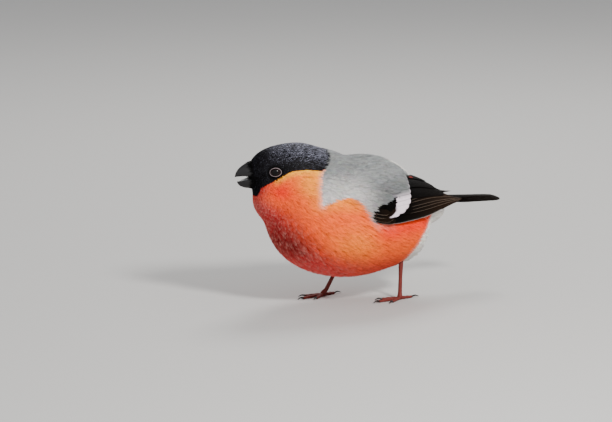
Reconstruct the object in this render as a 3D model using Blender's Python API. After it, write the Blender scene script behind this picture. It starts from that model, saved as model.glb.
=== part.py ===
"""Bullfinch: a still, life-size model of a male standing on level ground.

Lengths are in millimetres in this file and become metres where a mesh is made.
In the bird's frame the tail points to +Y, the breast to -Y, the bird's left side
is +X and the ground is z = 0. FRAME_SHIFT moves that frame so that the origin is
under the middle of the whole model's box.
"""

import math

import bmesh
import bpy
import numpy as np
from mathutils import Matrix, Vector

MM = 0.001
GAP = 0.3  # space between neighbouring pieces
FRAME_SHIFT = (-0.2, 0.2, 0.0)

# Feathered body: egg-shaped forms blended into one surface.
# Each is centre, radii, pitch and yaw; pitch lowers the front, yaw turns it to -X.
BODY_FORMS = {
    "belly": ((0.0, -12.0, 37.2), (25.8, 39.0, 25.7), 2, 0),
    "breast": ((0.0, -33.5, 44.6), (22.5, 22.8, 25.2), 0, 0),
    "throat": ((-3.0, -49.5, 50.5), (11.0, 13.2, 10.5), 0, 14),
    "back": ((0.0, -9.0, 47.4), (22.0, 28.0, 21.6), 0, 0),
    "flank": ((0.0, 9.0, 34.2), (18.5, 20.0, 18.8), -6, 0),
    "rump": ((0.0, 16.0, 43.5), (11.5, 24.0, 9.5), -14, 0),
    "undertail": ((0.0, 25.0, 41.0), (8.5, 22.0, 4.2), 0, 0),
    "nape": ((-0.5, -30.0, 60.5), (15.0, 14.0, 12.0), 0, 8),
    "head": ((-0.8, -43.2, 64.6), (12.3, 15.8, 13.0), 8, 17),
    "brow": ((-3.9, -53.0, 66.5), (7.7, 11.5, 9.7), 12, 17),
    "face": ((-4.4, -55.0, 61.5), (7.5, 7.0, 8.4), 10, 17),
}
BLEND = 2.2  # how far neighbouring forms flow into each other

# Head frame: its centre, and the turn of the head to the bird's right
HEAD_CENTRE = (-1.0, -43.8, 64.0)
HEAD_YAW = 17.0

# Cuts between head, neck, torso and rump: a point and the way the plane faces
HEAD_CUT = ((0.0, -26.0, 72.0), (0.0, -0.577, 0.817))
NECK_CUT = ((0.0, -17.0, 69.5), (0.0, -0.591, 0.807))
RUMP_CUT = ((0.0, 24.0, 40.0), (0.0, 0.850, 0.527))

# Each part of the body is cast out from a point inside it, as rings and sides
TORSO_CAST = ((0.0, -14.0, 41.0), 0.0, 22, 32)
NECK_CAST = ((-0.5, -36.0, 56.0), 0.0, 18, 28)
HEAD_CAST = ((-2.0, -46.5, 63.0), HEAD_YAW, 18, 28)
RUMP_CAST = ((0.0, 27.0, 42.5), 0.0, 16, 24)
CAST_REACH = 90.0
CAST_STEP = 1.0

# Eyes, set in from the head's surface at a place forward and up from its centre
EYE_PLACE = (11.2, 2.0)
EYE_DEPTH = 2.1
EYE_RADIUS = 3.1
EYELID_RADIUS = 3.0
EYELID_THICKNESS = 0.66
EYELID_RISE = 2.05  # from the eyeball's centre out to the lid's middle
EYELID_SIDES, EYELID_STEPS = 6, 18

# Bill, along its own axis from a root inside the face
BILL_ROOT = 17.0  # forward of the head's centre
BILL_TIP = 28.4
BILL_RISE = -1.0
BILL_HALF_WIDTH = 4.4
# Height at the root, degrees turned up, share of the full length and width, tip's droop
UPPER_BILL = (6.1, 5.0, 1.0, 1.3)
LOWER_BILL = (4.7, -9.0, 0.93, 0.0)
BILL_TIP_SHARE = (0.06, 0.03)  # width and height left at the tip
BILL_CURVES = (1.7, 2.2)  # how late its width and height fall off towards the tip
BILL_STATIONS = 9
BILL_SIDES = 12
NOSTRIL = (21.2, 2.9, 3.6)  # forward, sideways, up in the head frame
NOSTRIL_RADIUS = 0.55

# Folded wing. Each station has its place along the wing, the lower edge, the upper
# edge and how far the surface bulges outward between them, for the left wing.
WING_STATIONS = (
    (0.00, (19.0, -30.0, 47.5), (13.0, -29.0, 57.0), 4.0),
    (0.14, (22.4, -21.0, 44.5), (11.0, -21.0, 61.0), 5.5),
    (0.26, (26.0, -12.8, 40.7), (9.5, -12.0, 62.5), 6.5),
    (0.52, (25.1, 6.4, 40.3), (4.5, 6.5, 60.5), 6.5),
    (0.66, (21.5, 17.0, 40.8), (3.8, 16.5, 58.2), 4.5),
    (0.80, (17.0, 27.4, 42.0), (4.0, 27.5, 53.4), 2.4),
    (0.91, (13.2, 37.0, 43.0), (5.0, 36.6, 48.6), 0.9),
    (1.00, (10.6, 45.4, 43.5), (8.6, 44.4, 44.8), 0.1),
)
WING_CORE_DEPTH = 2.2  # the core below the ground surface
CORE_LENGTH = 0.93
CORE_MARGIN = 0.03  # share of the wing's width left free at its edges
CORE_TAPER = 0.6
CORE_EDGE = 0.45  # share of the core's depth that is left at its edges
SHOULDER_RISE = 1.5  # small coverts above it
SHOULDER_END = 0.05  # how far before the greater coverts' tips they end
SHOULDER_SLOPE = 0.14
FLIGHT_RISE = 1.2  # exposed edge of a flight feather above it
COVERT_RISE = 1.85
# Tips of the greater coverts lie on an arc: least place along, its growth and power
COVERT_ARC = (0.33, 0.27, 0.42)
COVERT_COUNT = 7
COVERT_START = 0.06  # place across the wing of the lowest greater covert
COVERT_SPACING = 0.108
COVERT_LENGTH = 0.17  # as a share of the wing's length
COVERT_WIDTH = 5.6
PRIMARY_COVERT_COUNT = 4
PRIMARY_COVERT_SPACING = 0.036
PRIMARY_COVERT_ROOT = 0.20
PRIMARY_COVERT_TIP = (0.345, 0.022)  # place along of the lowest one's tip, and its growth
PRIMARY_COVERT_WIDTH = 3.4

# Flight feathers from the lower edge up: where the lower edge of each starts and ends,
# as places along and across the wing, and its width
PRIMARIES = (
    ((0.24, 0.000), (0.965, 0.00), 4.0),
    ((0.25, 0.012), (0.985, 0.02), 4.4),
    ((0.26, 0.024), (1.000, 0.06), 4.6),
    ((0.27, 0.036), (0.995, 0.18), 4.6),
    ((0.28, 0.048), (0.975, 0.24), 4.8),
    ((0.29, 0.060), (0.950, 0.25), 5.0),
    ((0.30, 0.072), (0.925, 0.24), 5.0),
)
SECONDARIES = (
    ((0.34, 0.085), (0.905, 0.22), 5.4),
    ((0.36, 0.100), (0.895, 0.22), 5.6),
    ((0.38, 0.120), (0.885, 0.22), 5.8),
    ((0.40, 0.145), (0.878, 0.22), 6.0),
)
TERTIALS = (
    ((0.42, 0.18), (0.870, 0.24), 9.0),
    ((0.44, 0.42), (0.800, 0.45), 9.0),
    ((0.46, 0.66), (0.715, 0.70), 8.0),
)

# A feather's outline: places along it and its width there as a share of the widest
VANE_STOPS = (0.0, 0.2, 0.45, 0.7, 0.86, 0.95, 1.0)
VANE_WIDTHS = (0.5, 0.8, 0.95, 1.0, 0.84, 0.55, 0.16)
VANE_THICKNESS = 0.55
VANE_TIP_THINNING = 0.4
# How much lower a feather's covered edge lies than its exposed edge
PRIMARY_TILT, SECONDARY_TILT, TERTIAL_TILT, COVERT_TILT = 1.4, 1.5, 0.9, 0.75
FEATHER_SEED = {"left": 11, "right": 12}
LENGTH_VARIATION = 0.008  # share of the wing's length
WIDTH_VARIATION = 0.4
RISE_VARIATION = 0.06
RIGHT_WING_SHIFT = (3.6, 5.0, 0.8)  # where the far wing's tip lies further back
RIGHT_WING_SAG = 2.2  # how much lower the far wing lies at its middle

# Tail: its middle line, folded widths, thickness and roll toward the bird's left
TAIL_ROOT = (0.0, 31.0, 45.1)
TAIL_TIP = (0.0, 70.8, 42.8)
TAIL_ROOT_WIDTH = 9.5
TAIL_TIP_WIDTH = 15.0
TAIL_THICKNESS = 2.6
TAIL_EDGE = 1.5
TAIL_ROLL = 1.0
TAIL_ARCH = 0.5  # how much lower the tail's edges lie than its middle
TAIL_PAIRS = 6
TAIL_FEATHER_WIDTH = 6.6
TAIL_MIDDLE_EDGE = 0.46  # place of the middle pair's outer edges across each half
TAIL_NOTCH = 2.2  # the middle pair is shorter by this much
TAIL_CORNER = 0.5  # and the outermost pair by this much
TAIL_TILT = 0.15
TAIL_TIERS = ((0.95, 0.30), (0.62, 0.17))  # middle pair's height at root and tip, and step down
TAIL_SIDE_STEP = 0.06  # the right half lies under the left by this much
TAIL_ROOT_LENGTH = 0.34  # share of the tail's length in which its feathers' roots lie
TAIL_ROOT_THINNING = 0.55  # how much thinner that root is at its end

# Coverts above and below the tail: number, the row's half-width, where their roots and
# tips lie front to back, their height there and their width
UPPER_COVERTS = (5, 3.6, (28.0, 46.0), (49.0, 46.0), 4.4)
UNDER_COVERTS = (7, 5.6, (34.0, 48.6), (38.6, 41.6), 4.6)

# Legs and feet: sole centre, top of the shank, and the way the toes point
LEFT_FOOT = (13.5, 7.0)
LEFT_SHANK_TOP = (10.0, 10.0, 20.0)
LEFT_TOES_YAW = 6.0
RIGHT_FOOT = (-13.5, -19.3)
RIGHT_SHANK_TOP = (-9.0, -11.5, 18.0)
RIGHT_TOES_YAW = 10.0
SHANK_RADIUS = 0.95
ANKLE_HEIGHT = 3.2
TOE_SPREAD = 27.0  # degrees from the middle toe to each side toe
# Toe lengths without the claw, and the claws' lengths
MIDDLE_TOE, SIDE_TOE, HIND_TOE = 12.5, 8.5, 7.0
FRONT_CLAW, HIND_CLAW = 3.9, 5.0
TOE_RADIUS = 0.85
TOE_SIDES = 8
TOE_TAPER = 0.22
TOE_PADS = 0.10  # how much the toes swell at their pads
CLAW_BEND = 1.15  # radians
SOLE_CUT = 0.16  # the soles are flattened by this much

COLOURS = {
    "cap black": ((0.012, 0.013, 0.018), 0.45),
    "breast orange": ((0.62, 0.13, 0.035), 0.85),
    "rump white": ((0.78, 0.75, 0.70), 0.85),
    "wing black": ((0.018, 0.018, 0.024), 0.40),
    "eye brown": ((0.010, 0.006, 0.004), 0.08),
    "bill black": ((0.015, 0.015, 0.016), 0.35),
    "leg brown": ((0.085, 0.028, 0.022), 0.60),
}


# Materials and mesh helpers


def material(name):
    found = bpy.data.materials.get(name)
    if found:
        return found
    colour, roughness = COLOURS[name]
    made = bpy.data.materials.new(name)
    made.use_nodes = True
    shader = made.node_tree.nodes["Principled BSDF"]
    shader.inputs["Base Color"].default_value = (*colour, 1.0)
    shader.inputs["Roughness"].default_value = roughness
    shader.inputs["Metallic"].default_value = 0.0
    made.diffuse_color = (*colour, 1.0)
    return made


def solid(name, points, faces, finish):
    """Make an object from points in the bird's frame, all faces as triangles."""
    mesh = bpy.data.meshes.new(name)
    placed = (np.asarray(points, dtype=float) + np.array(FRAME_SHIFT)) * MM
    mesh.from_pydata([tuple(p) for p in placed], [], faces)
    made = bpy.data.objects.new(name, mesh)
    bpy.context.scene.collection.objects.link(made)
    made.data.materials.append(material(finish))
    edit = bmesh.new()
    edit.from_mesh(mesh)
    bmesh.ops.triangulate(edit, faces=edit.faces)
    bmesh.ops.recalc_face_normals(edit, faces=edit.faces)
    edit.to_mesh(mesh)
    edit.free()
    return made


def tube_faces(stations, sides):
    """Faces of a closed tube whose stations are rings and whose ends are capped."""
    faces = []
    for station in range(stations - 1):
        for side in range(sides):
            after = (side + 1) % sides
            start = station * sides
            faces.append((start + side, start + after, start + sides + after, start + sides + side))
    faces.append(tuple(range(sides))[::-1])
    last = (stations - 1) * sides
    faces.append(tuple(range(last, last + sides)))
    return faces


def loft(name, rings, finish):
    """A closed tube through rings of points."""
    rings = np.asarray(rings)
    points = rings.reshape(-1, 3)
    return solid(name, points, tube_faces(rings.shape[0], rings.shape[1]), finish)


def shift_point(point):
    """A point of the bird's frame in the finished model's frame, in metres."""
    return Vector((np.asarray(point, dtype=float) + np.array(FRAME_SHIFT)) * MM)


def cut(target, point, facing):
    """Cut away what lies beyond a plane and close the cut with a flat face."""
    edit = bmesh.new()
    edit.from_mesh(target.data)
    everything = list(edit.verts) + list(edit.edges) + list(edit.faces)
    done = bmesh.ops.bisect_plane(
        edit, geom=everything, dist=1e-7, plane_co=shift_point(point),
        plane_no=Vector(facing), clear_outer=True)
    edges = [item for item in done["geom_cut"] if isinstance(item, bmesh.types.BMEdge)]
    bmesh.ops.holes_fill(edit, edges=edges, sides=0)
    bmesh.ops.triangulate(edit, faces=edit.faces)
    bmesh.ops.recalc_face_normals(edit, faces=edit.faces)
    edit.to_mesh(target.data)
    edit.free()


def combine(target, pieces, operation):
    """Join pieces to the target or cut them from it, in one step, and remove them."""
    group = bpy.data.collections.new(target.name + " pieces")
    for piece in pieces:
        group.objects.link(piece)
    change = target.modifiers.new("Combine", "BOOLEAN")
    change.operation = operation
    change.operand_type = "COLLECTION"
    change.collection = group
    change.solver = "EXACT"
    depsgraph = bpy.context.evaluated_depsgraph_get()
    result = bpy.data.meshes.new_from_object(target.evaluated_get(depsgraph))
    target.modifiers.clear()
    target.data = result
    for piece in pieces:
        bpy.data.objects.remove(piece)
    bpy.data.collections.remove(group)


def keep_largest(target):
    """Keep only the target's largest closed surface."""
    edit = bmesh.new()
    edit.from_mesh(target.data)
    waiting = set(edit.faces)
    islands = []
    while waiting:
        front = [waiting.pop()]
        island = []
        while front:
            face = front.pop()
            island.append(face)
            for edge in face.edges:
                for other in edge.link_faces:
                    if other in waiting:
                        waiting.remove(other)
                        front.append(other)
        islands.append(island)
    islands.sort(key=lambda island: sum(face.calc_area() for face in island))
    for island in islands[:-1]:
        bmesh.ops.delete(edit, geom=island, context="FACES")
    bmesh.ops.triangulate(edit, faces=edit.faces)
    edit.to_mesh(target.data)
    edit.free()


# Body surface


def turned(pitch, yaw):
    """Axes of a form: pitch lowers its front, yaw turns its front to -X."""
    down, aside = math.radians(pitch), math.radians(yaw)
    tip = np.array([
        [1, 0, 0],
        [0, math.cos(down), -math.sin(down)],
        [0, math.sin(down), math.cos(down)]])
    spin = np.array([
        [math.cos(aside), math.sin(aside), 0],
        [-math.sin(aside), math.cos(aside), 0],
        [0, 0, 1]])
    return spin @ tip


def form_distance(points, centre, radii, pitch, yaw):
    """Roughly the distance from an egg-shaped form, negative inside it."""
    local = (points - np.array(centre)) @ turned(pitch, yaw)
    radii = np.array(radii)
    scaled = np.linalg.norm(local / radii, axis=-1)
    slope = np.linalg.norm(local / radii**2, axis=-1)
    return scaled * (scaled - 1) / np.maximum(slope, 1e-9)


def body_distance(points):
    """Distance from the blended body surface, negative inside it."""
    each = np.stack([form_distance(points, *form) for form in BODY_FORMS.values()])
    nearest = each.min(0)
    return nearest - BLEND * np.log(np.exp(-(each - nearest) / BLEND).sum(0))


def cast(origin, directions, swell=0.0):
    """Where rays from inside first leave the body surface, swollen by a distance."""
    origin = np.asarray(origin, dtype=float)
    near = np.zeros(len(directions))
    far = np.full(len(directions), CAST_REACH)
    found = np.zeros(len(directions), dtype=bool)
    for reach in np.arange(CAST_STEP, CAST_REACH, CAST_STEP):
        outside = body_distance(origin + directions * reach) > swell
        fresh = outside & ~found
        near[fresh] = reach - CAST_STEP
        far[fresh] = reach
        found |= outside
    for _ in range(20):
        middle = (near + far) / 2
        outside = body_distance(origin + directions * middle[:, None]) > swell
        far = np.where(outside, middle, far)
        near = np.where(outside, near, middle)
    return origin + directions * far[:, None]


def flesh(name, place, cuts, finish, swell=0.0):
    """One part of the body between flat cuts, each a point, a facing and a side."""
    origin, yaw, rings, sides = place
    around = np.linspace(0, 2 * math.pi, sides, endpoint=False)
    axes = turned(0, yaw)
    directions = [axes @ np.array([0, -1, 0])]
    for ring in range(1, rings):
        lean = math.pi * ring / rings
        for angle in around:
            local = (math.sin(lean) * math.cos(angle), -math.cos(lean), math.sin(lean) * math.sin(angle))
            directions.append(axes @ np.array(local))
    directions.append(axes @ np.array([0, 1, 0]))
    points = cast(origin, np.array(directions), swell)
    faces = []
    last = len(points) - 1
    for side in range(sides):
        after = (side + 1) % sides
        faces.append((0, 1 + side, 1 + after))
        for ring in range(rings - 2):
            start = 1 + ring * sides
            faces.append((start + side, start + sides + side, start + sides + after, start + after))
        start = 1 + (rings - 2) * sides
        faces.append((start + side, last, start + after))
    made = solid(name, points, faces, finish)
    for (point, facing), side in cuts:
        outward = np.array(facing) * side
        edge = np.array(point) + outward * (swell - GAP / 2)
        cut(made, edge, outward)
    return made


def torso(name="torso", swell=0.0):
    cuts = [(NECK_CUT, 1), (RUMP_CUT, 1)]
    return flesh(name, TORSO_CAST, cuts, "breast orange", swell)


def rump_flesh(name="rump", swell=0.0):
    return flesh(name, RUMP_CAST, [(RUMP_CUT, -1)], "rump white", swell)


def head_flesh(name="head", swell=0.0):
    return flesh(name, HEAD_CAST, [(HEAD_CUT, -1)], "cap black", swell)


# Head: eyes, lids and bill


def head_point(forward, sideways, up):
    """A place in the head frame; sideways is to the bird's left."""
    yaw = math.radians(HEAD_YAW)
    ahead = np.array([-math.sin(yaw), -math.cos(yaw), 0.0])
    left = np.array([math.cos(yaw), -math.sin(yaw), 0.0])
    return np.array(HEAD_CENTRE) + forward * ahead + sideways * left + np.array([0, 0, up])


def surface_normal(point):
    """The way the body surface faces near a point."""
    step = 0.05
    offsets = np.eye(3) * step
    rise = [body_distance(point + offset) - body_distance(point - offset) for offset in offsets]
    rise = np.array(rise)
    return rise / np.linalg.norm(rise)


def ball(name, centre, radius, finish, rings=10, sides=16):
    points = [np.array(centre) + np.array([0, 0, radius])]
    for ring in range(1, rings):
        lean = math.pi * ring / rings
        for side in range(sides):
            turn = 2 * math.pi * side / sides
            local = (math.sin(lean) * math.cos(turn), math.sin(lean) * math.sin(turn), math.cos(lean))
            points.append(np.array(centre) + radius * np.array(local))
    points.append(np.array(centre) - np.array([0, 0, radius]))
    last = len(points) - 1
    faces = []
    for side in range(sides):
        after = (side + 1) % sides
        faces.append((0, 1 + side, 1 + after))
        for ring in range(rings - 2):
            start = 1 + ring * sides
            faces.append((start + side, start + sides + side, start + sides + after, start + after))
        start = 1 + (rings - 2) * sides
        faces.append((start + side, last, start + after))
    return solid(name, points, faces, finish)


def eyelid(name, centre, facing):
    """A ring round the eye, turned to face out of the head."""
    mesh = bpy.data.meshes.new(name)
    edit = bmesh.new()
    size = EYELID_THICKNESS / 2
    bmesh.ops.create_circle(
        edit, segments=EYELID_SIDES, radius=size * MM,
        matrix=Matrix.Translation((EYELID_RADIUS * MM, 0, 0)) @ Matrix.Rotation(math.pi / 2, 4, "X"))
    bmesh.ops.spin(
        edit, geom=edit.verts[:] + edit.edges[:], axis=(0, 0, 1), cent=(0, 0, 0),
        angle=2 * math.pi, steps=EYELID_STEPS, use_merge=True, use_duplicate=False)
    bmesh.ops.remove_doubles(edit, verts=edit.verts, dist=1e-6)
    bmesh.ops.recalc_face_normals(edit, faces=edit.faces)
    aim = Vector(facing).to_track_quat("Z", "Y").to_matrix().to_4x4()
    spot = shift_point(np.array(centre) + np.array(facing) * EYELID_RISE)
    bmesh.ops.transform(edit, matrix=Matrix.Translation(spot) @ aim, verts=edit.verts)
    bmesh.ops.triangulate(edit, faces=edit.faces)
    edit.to_mesh(mesh)
    edit.free()
    made = bpy.data.objects.new(name, mesh)
    bpy.context.scene.collection.objects.link(made)
    return made


def build_head():
    forward, up = EYE_PLACE
    head = head_flesh()
    lids, sockets = [], []
    for side, word in ((1, "left"), (-1, "right")):
        middle = head_point(forward, 0, up)
        outward = head_point(forward, side, up) - middle
        surface = cast(middle, np.array([outward]))[0]
        facing = surface_normal(surface)
        centre = surface - facing * EYE_DEPTH
        ball("eye_" + word, centre, EYE_RADIUS, "eye brown")
        lids.append(eyelid("lid " + word, centre, facing))
        sockets.append(ball("socket " + word, centre, EYE_RADIUS + GAP, "eye brown"))
    combine(head, lids, "UNION")
    combine(head, sockets, "DIFFERENCE")
    keep_largest(head)


def bill_half(name, height, lift, share, droop, side):
    """One half of the bill: side 1 is the upper, -1 the lower."""
    rings = []
    narrowest, lowest = BILL_TIP_SHARE
    width_curve, height_curve = BILL_CURVES
    root = head_point(BILL_ROOT, 0, BILL_RISE)
    tilt = math.radians(lift)
    ahead = head_point(1, 0, 0) - head_point(0, 0, 0)
    left = head_point(0, 1, 0) - head_point(0, 0, 0)
    axis = ahead * math.cos(tilt) + np.array([0, 0, 1]) * math.sin(tilt)
    above = np.cross(left, axis)
    above = above if above[2] > 0 else -above
    length = (BILL_TIP - BILL_ROOT) * share
    for station in range(BILL_STATIONS):
        along = station / (BILL_STATIONS - 1)
        wide = BILL_HALF_WIDTH * share * ((1 - along**width_curve) * (1 - narrowest) + narrowest)
        tall = height * (math.sqrt(1 - along**height_curve) * (1 - lowest) + lowest)
        middle = root + axis * length * along - above * droop * along**3
        middle = middle + above * side * GAP / 2
        ring = []
        for corner in range(BILL_SIDES):
            turn = math.pi * corner / (BILL_SIDES - 1)
            ring.append(middle + left * wide * math.cos(turn) + above * side * tall * math.sin(turn))
        rings.append(ring)
    return loft(name, rings, "bill black")


def build_bill():
    upper = bill_half("bill_upper", *UPPER_BILL, 1)
    lower = bill_half("bill_lower", *LOWER_BILL, -1)
    nostrils = []
    for side in (1, -1):
        forward, sideways, up = NOSTRIL
        place = head_point(forward, side * sideways, up)
        nostrils.append(ball("nostril %d" % side, place, NOSTRIL_RADIUS, "bill black", 6, 8))
    combine(upper, nostrils, "DIFFERENCE")
    for half in (upper, lower):
        combine(half, [head_flesh("face guard", GAP)], "DIFFERENCE")
        keep_largest(half)


# Wings


def along_stations(place, values):
    """Smoothly read values given at the wing's stations."""
    knots = np.array([station[0] for station in WING_STATIONS])
    values = np.asarray(values, dtype=float)
    slopes = np.gradient(values, knots, axis=0)
    index = int(np.clip(np.searchsorted(knots, place) - 1, 0, len(knots) - 2))
    span = knots[index + 1] - knots[index]
    t = (place - knots[index]) / span
    start = (2 * t**3 - 3 * t**2 + 1) * values[index] + (t**3 - 2 * t**2 + t) * span * slopes[index]
    end = (3 * t**2 - 2 * t**3) * values[index + 1] + (t**3 - t**2) * span * slopes[index + 1]
    return start + end


def wing_ground(along, across):
    """The wing's ground surface: along 0 to 1 from bend to tip, across 0 to 1 upward."""
    lower = along_stations(along, [station[1] for station in WING_STATIONS])
    upper = along_stations(along, [station[2] for station in WING_STATIONS])
    bulge = along_stations(along, [station[3] for station in WING_STATIONS])
    chord = upper - lower
    outward = np.array([chord[2], 0.0, -chord[0]])
    outward = outward / np.linalg.norm(outward)
    return lower + chord * across + outward * bulge * 4 * across * (1 - across)


def wing_point(along, across, rise):
    """A point above the wing's ground surface by a rise."""
    step = 0.01
    here = wing_ground(along, across)
    run = wing_ground(min(along + step, 1.0), across) - wing_ground(max(along - step, 0.0), across)
    climb = wing_ground(along, min(across + step, 1.0)) - wing_ground(along, max(across - step, 0.0))
    facing = np.cross(climb, run)
    facing = -facing / np.linalg.norm(facing)
    facing = facing if facing[0] > 0 else -facing
    return here + facing * rise


def far_side(point, along):
    """The same place on the right wing, whose tip lies further back."""
    shift = np.array(RIGHT_WING_SHIFT) * along**2
    shift[2] -= RIGHT_WING_SAG * math.sin(math.pi * along)
    return np.array([-point[0], point[1], point[2]]) + shift


def covert_tip(across):
    """How far along the wing the greater covert at a place across it ends."""
    least, growth, power = COVERT_ARC
    return least + growth * max(across, 0.0) ** power


def vane(place, start, end, width, rise, tilt, lead=0.5, folds=1, swell=0.0):
    """A feather as a thin tapered plate lying on a surface.

    Place gives a point from along, across and a rise, and the width of the surface
    there. Start and end are the feather's exposed edge, rise is that edge's height at
    its root and tip, tilt is how much lower its covered edge lies, and lead says where
    the tip comes between the two edges.
    """
    rings = []
    for stop, share in zip(VANE_STOPS, VANE_WIDTHS):
        along = start[0] + (end[0] - start[0]) * stop
        across = start[1] + (end[1] - start[1]) * stop
        height = rise[0] + (rise[1] - rise[0]) * stop
        thickness = VANE_THICKNESS * (1 - VANE_TIP_THINNING * stop**4)
        middle = width * (0.5 * share + lead * (1 - share))
        half = width * share / 2 + swell
        steps = [middle + half * (2 * fold / folds - 1) for fold in range(folds + 1)]
        top = [place(along, across, step, height - tilt * step / width + swell) for step in steps]
        under = [
            place(along, across, step, height - tilt * step / width - thickness - swell)
            for step in steps]
        rings.append(top + under[::-1])
    return vane_solid(np.array(rings), folds)


def vane_solid(rings, folds):
    """Close a feather's rings with triangles that run alike on both faces."""
    sides = rings.shape[1]
    faces = []
    for ring in range(len(rings) - 1):
        here, ahead = ring * sides, (ring + 1) * sides
        for step in range(folds):
            a, b = step, step + 1
            faces.append((here + a, here + b, ahead + b))
            faces.append((here + a, ahead + b, ahead + a))
            c, d = sides - 1 - a, sides - 1 - b
            faces.append((here + c, ahead + d, here + d))
            faces.append((here + c, ahead + c, ahead + d))
        for a, b in ((sides - 1, 0), (folds, folds + 1)):
            faces.append((here + a, here + b, ahead + b))
            faces.append((here + a, ahead + b, ahead + a))
    faces.append(tuple(range(sides))[::-1])
    last = (len(rings) - 1) * sides
    faces.append(tuple(range(last, last + sides)))
    return solid("vane", rings.reshape(-1, 3), faces, "wing black")


def wing_place(word):
    """A surface for feathers on one wing, with steps across it in millimetres."""
    def place(along, across, step, rise):
        chord = np.linalg.norm(wing_ground(along, 1.0) - wing_ground(along, 0.0))
        point = wing_point(along, across + step / chord, rise)
        return far_side(point, along) if word == "right" else point
    return place


def wing_core(word):
    """What the feathers grow from, with the smooth shoulder of small coverts in front."""
    place = wing_place(word)
    rings = []
    for along in np.linspace(0.0, CORE_LENGTH, 18):
        depth = WING_CORE_DEPTH * (1.0 - CORE_TAPER * along)
        top, under = [], []
        for across in np.linspace(CORE_MARGIN, 1.0 - CORE_MARGIN, 7):
            fade = np.clip((covert_tip(across) - SHOULDER_END - along) / SHOULDER_SLOPE, 0.0, 1.0)
            fade = fade * fade * (3 - 2 * fade)
            crown = CORE_EDGE + (1 - CORE_EDGE) * math.sin(math.pi * across)
            top.append(place(along, across, 0, SHOULDER_RISE * crown * fade))
            under.append(place(along, across, 0, -depth * crown))
        rings.append(top + under[::-1])
    return loft("wing_" + word, rings, "wing black")


def wing_vanes(word):
    """Primaries, secondaries, tertials and the coverts over their roots."""
    place = wing_place(word)
    chance = np.random.default_rng(FEATHER_SEED[word])
    made = []

    def add(start, end, width, rise, tilt, lead=0.5, folds=1):
        end = (end[0] + LENGTH_VARIATION * chance.uniform(-1, 0), end[1])
        rise = (rise[0], rise[1] + RISE_VARIATION * chance.uniform(-1, 1))
        width = width + WIDTH_VARIATION * chance.uniform(-1, 1)
        made.append(vane(place, start, end, width, rise, tilt, lead, folds))

    for start, end, width in PRIMARIES:
        add(start, end, width, (FLIGHT_RISE - 0.4, FLIGHT_RISE), PRIMARY_TILT, lead=0.2)
    for start, end, width in SECONDARIES:
        add(start, end, width, (FLIGHT_RISE - 0.4, FLIGHT_RISE), SECONDARY_TILT, lead=0.35)
    for start, end, width in TERTIALS:
        add(start, end, width, (FLIGHT_RISE - 0.2, FLIGHT_RISE + 0.15), TERTIAL_TILT, folds=2)
    least, growth = PRIMARY_COVERT_TIP
    for index in range(PRIMARY_COVERT_COUNT):
        across = 0.005 + PRIMARY_COVERT_SPACING * index
        start, end = (PRIMARY_COVERT_ROOT, across), (least + growth * index, across + 0.01)
        add(start, end, PRIMARY_COVERT_WIDTH, (0.6, FLIGHT_RISE + 0.45), COVERT_TILT)
    for index in range(COVERT_COUNT):
        across = COVERT_START + COVERT_SPACING * index
        tip = covert_tip(across + COVERT_SPACING / 2)
        start, end = (tip - COVERT_LENGTH, across), (tip, across + 0.01)
        add(start, end, COVERT_WIDTH, (0.3, COVERT_RISE), COVERT_TILT)
    return made


def build_wing(word):
    wing = wing_core(word)
    combine(wing, wing_vanes(word), "UNION")
    guards = [torso("torso guard", GAP), rump_flesh("rump guard", GAP), tail_slab("tail guard", GAP)]
    for guard in guards + rump_vanes(GAP):
        combine(wing, [guard], "DIFFERENCE")
    keep_largest(wing)
    return wing


# Tail and rump


def tail_point(along, aside, rise):
    """A place on the tail: along 0 to 1, aside in mm to the left, rise in mm."""
    root, tip = np.array(TAIL_ROOT), np.array(TAIL_TIP)
    axis = tip - root
    ahead = axis / np.linalg.norm(axis)
    roll = math.radians(TAIL_ROLL) * along
    left = np.array([math.cos(roll), 0.0, math.sin(roll)])
    up = np.cross(left, ahead)
    up = up / np.linalg.norm(up)
    up = up if up[2] > 0 else -up
    return root + axis * along + left * aside + up * rise


def tail_slab(name, swell=0.0, reach=1.0):
    """The tail's outline as one slab, or the root that its feathers grow from."""
    rings = []
    for along in np.linspace(0.0, reach, 10):
        half = (TAIL_ROOT_WIDTH + (TAIL_TIP_WIDTH - TAIL_ROOT_WIDTH) * along) / 2 + swell
        thick = TAIL_THICKNESS + (TAIL_EDGE - TAIL_THICKNESS) * along
        if reach < 1.0:
            thick = thick * (1 - TAIL_ROOT_THINNING * along / reach)
        ring = []
        for aside in (-1.0, -0.5, 0.0, 0.5, 1.0):
            ring.append(tail_point(along, aside * half, thick / 2 + swell - TAIL_ARCH * aside**2))
        for aside in (1.0, 0.5, 0.0, -0.5, -1.0):
            ring.append(tail_point(along, aside * half, -thick / 2 - swell - TAIL_ARCH * aside**2))
        rings.append(ring)
    if swell:
        rings.insert(0, [np.array(point) + np.array([0, -swell, 0]) for point in rings[0]])
    return loft(name, rings, "wing black")


def tail_place(side):
    """A surface for the feathers of one half of the tail, from its middle outward."""
    def place(along, across, step, rise):
        half = (TAIL_ROOT_WIDTH + (TAIL_TIP_WIDTH - TAIL_ROOT_WIDTH) * along) / 2
        aside = across * half - step
        arch = TAIL_ARCH * (aside / half) ** 2
        return tail_point(along, side * aside, rise - arch)
    return place


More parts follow.
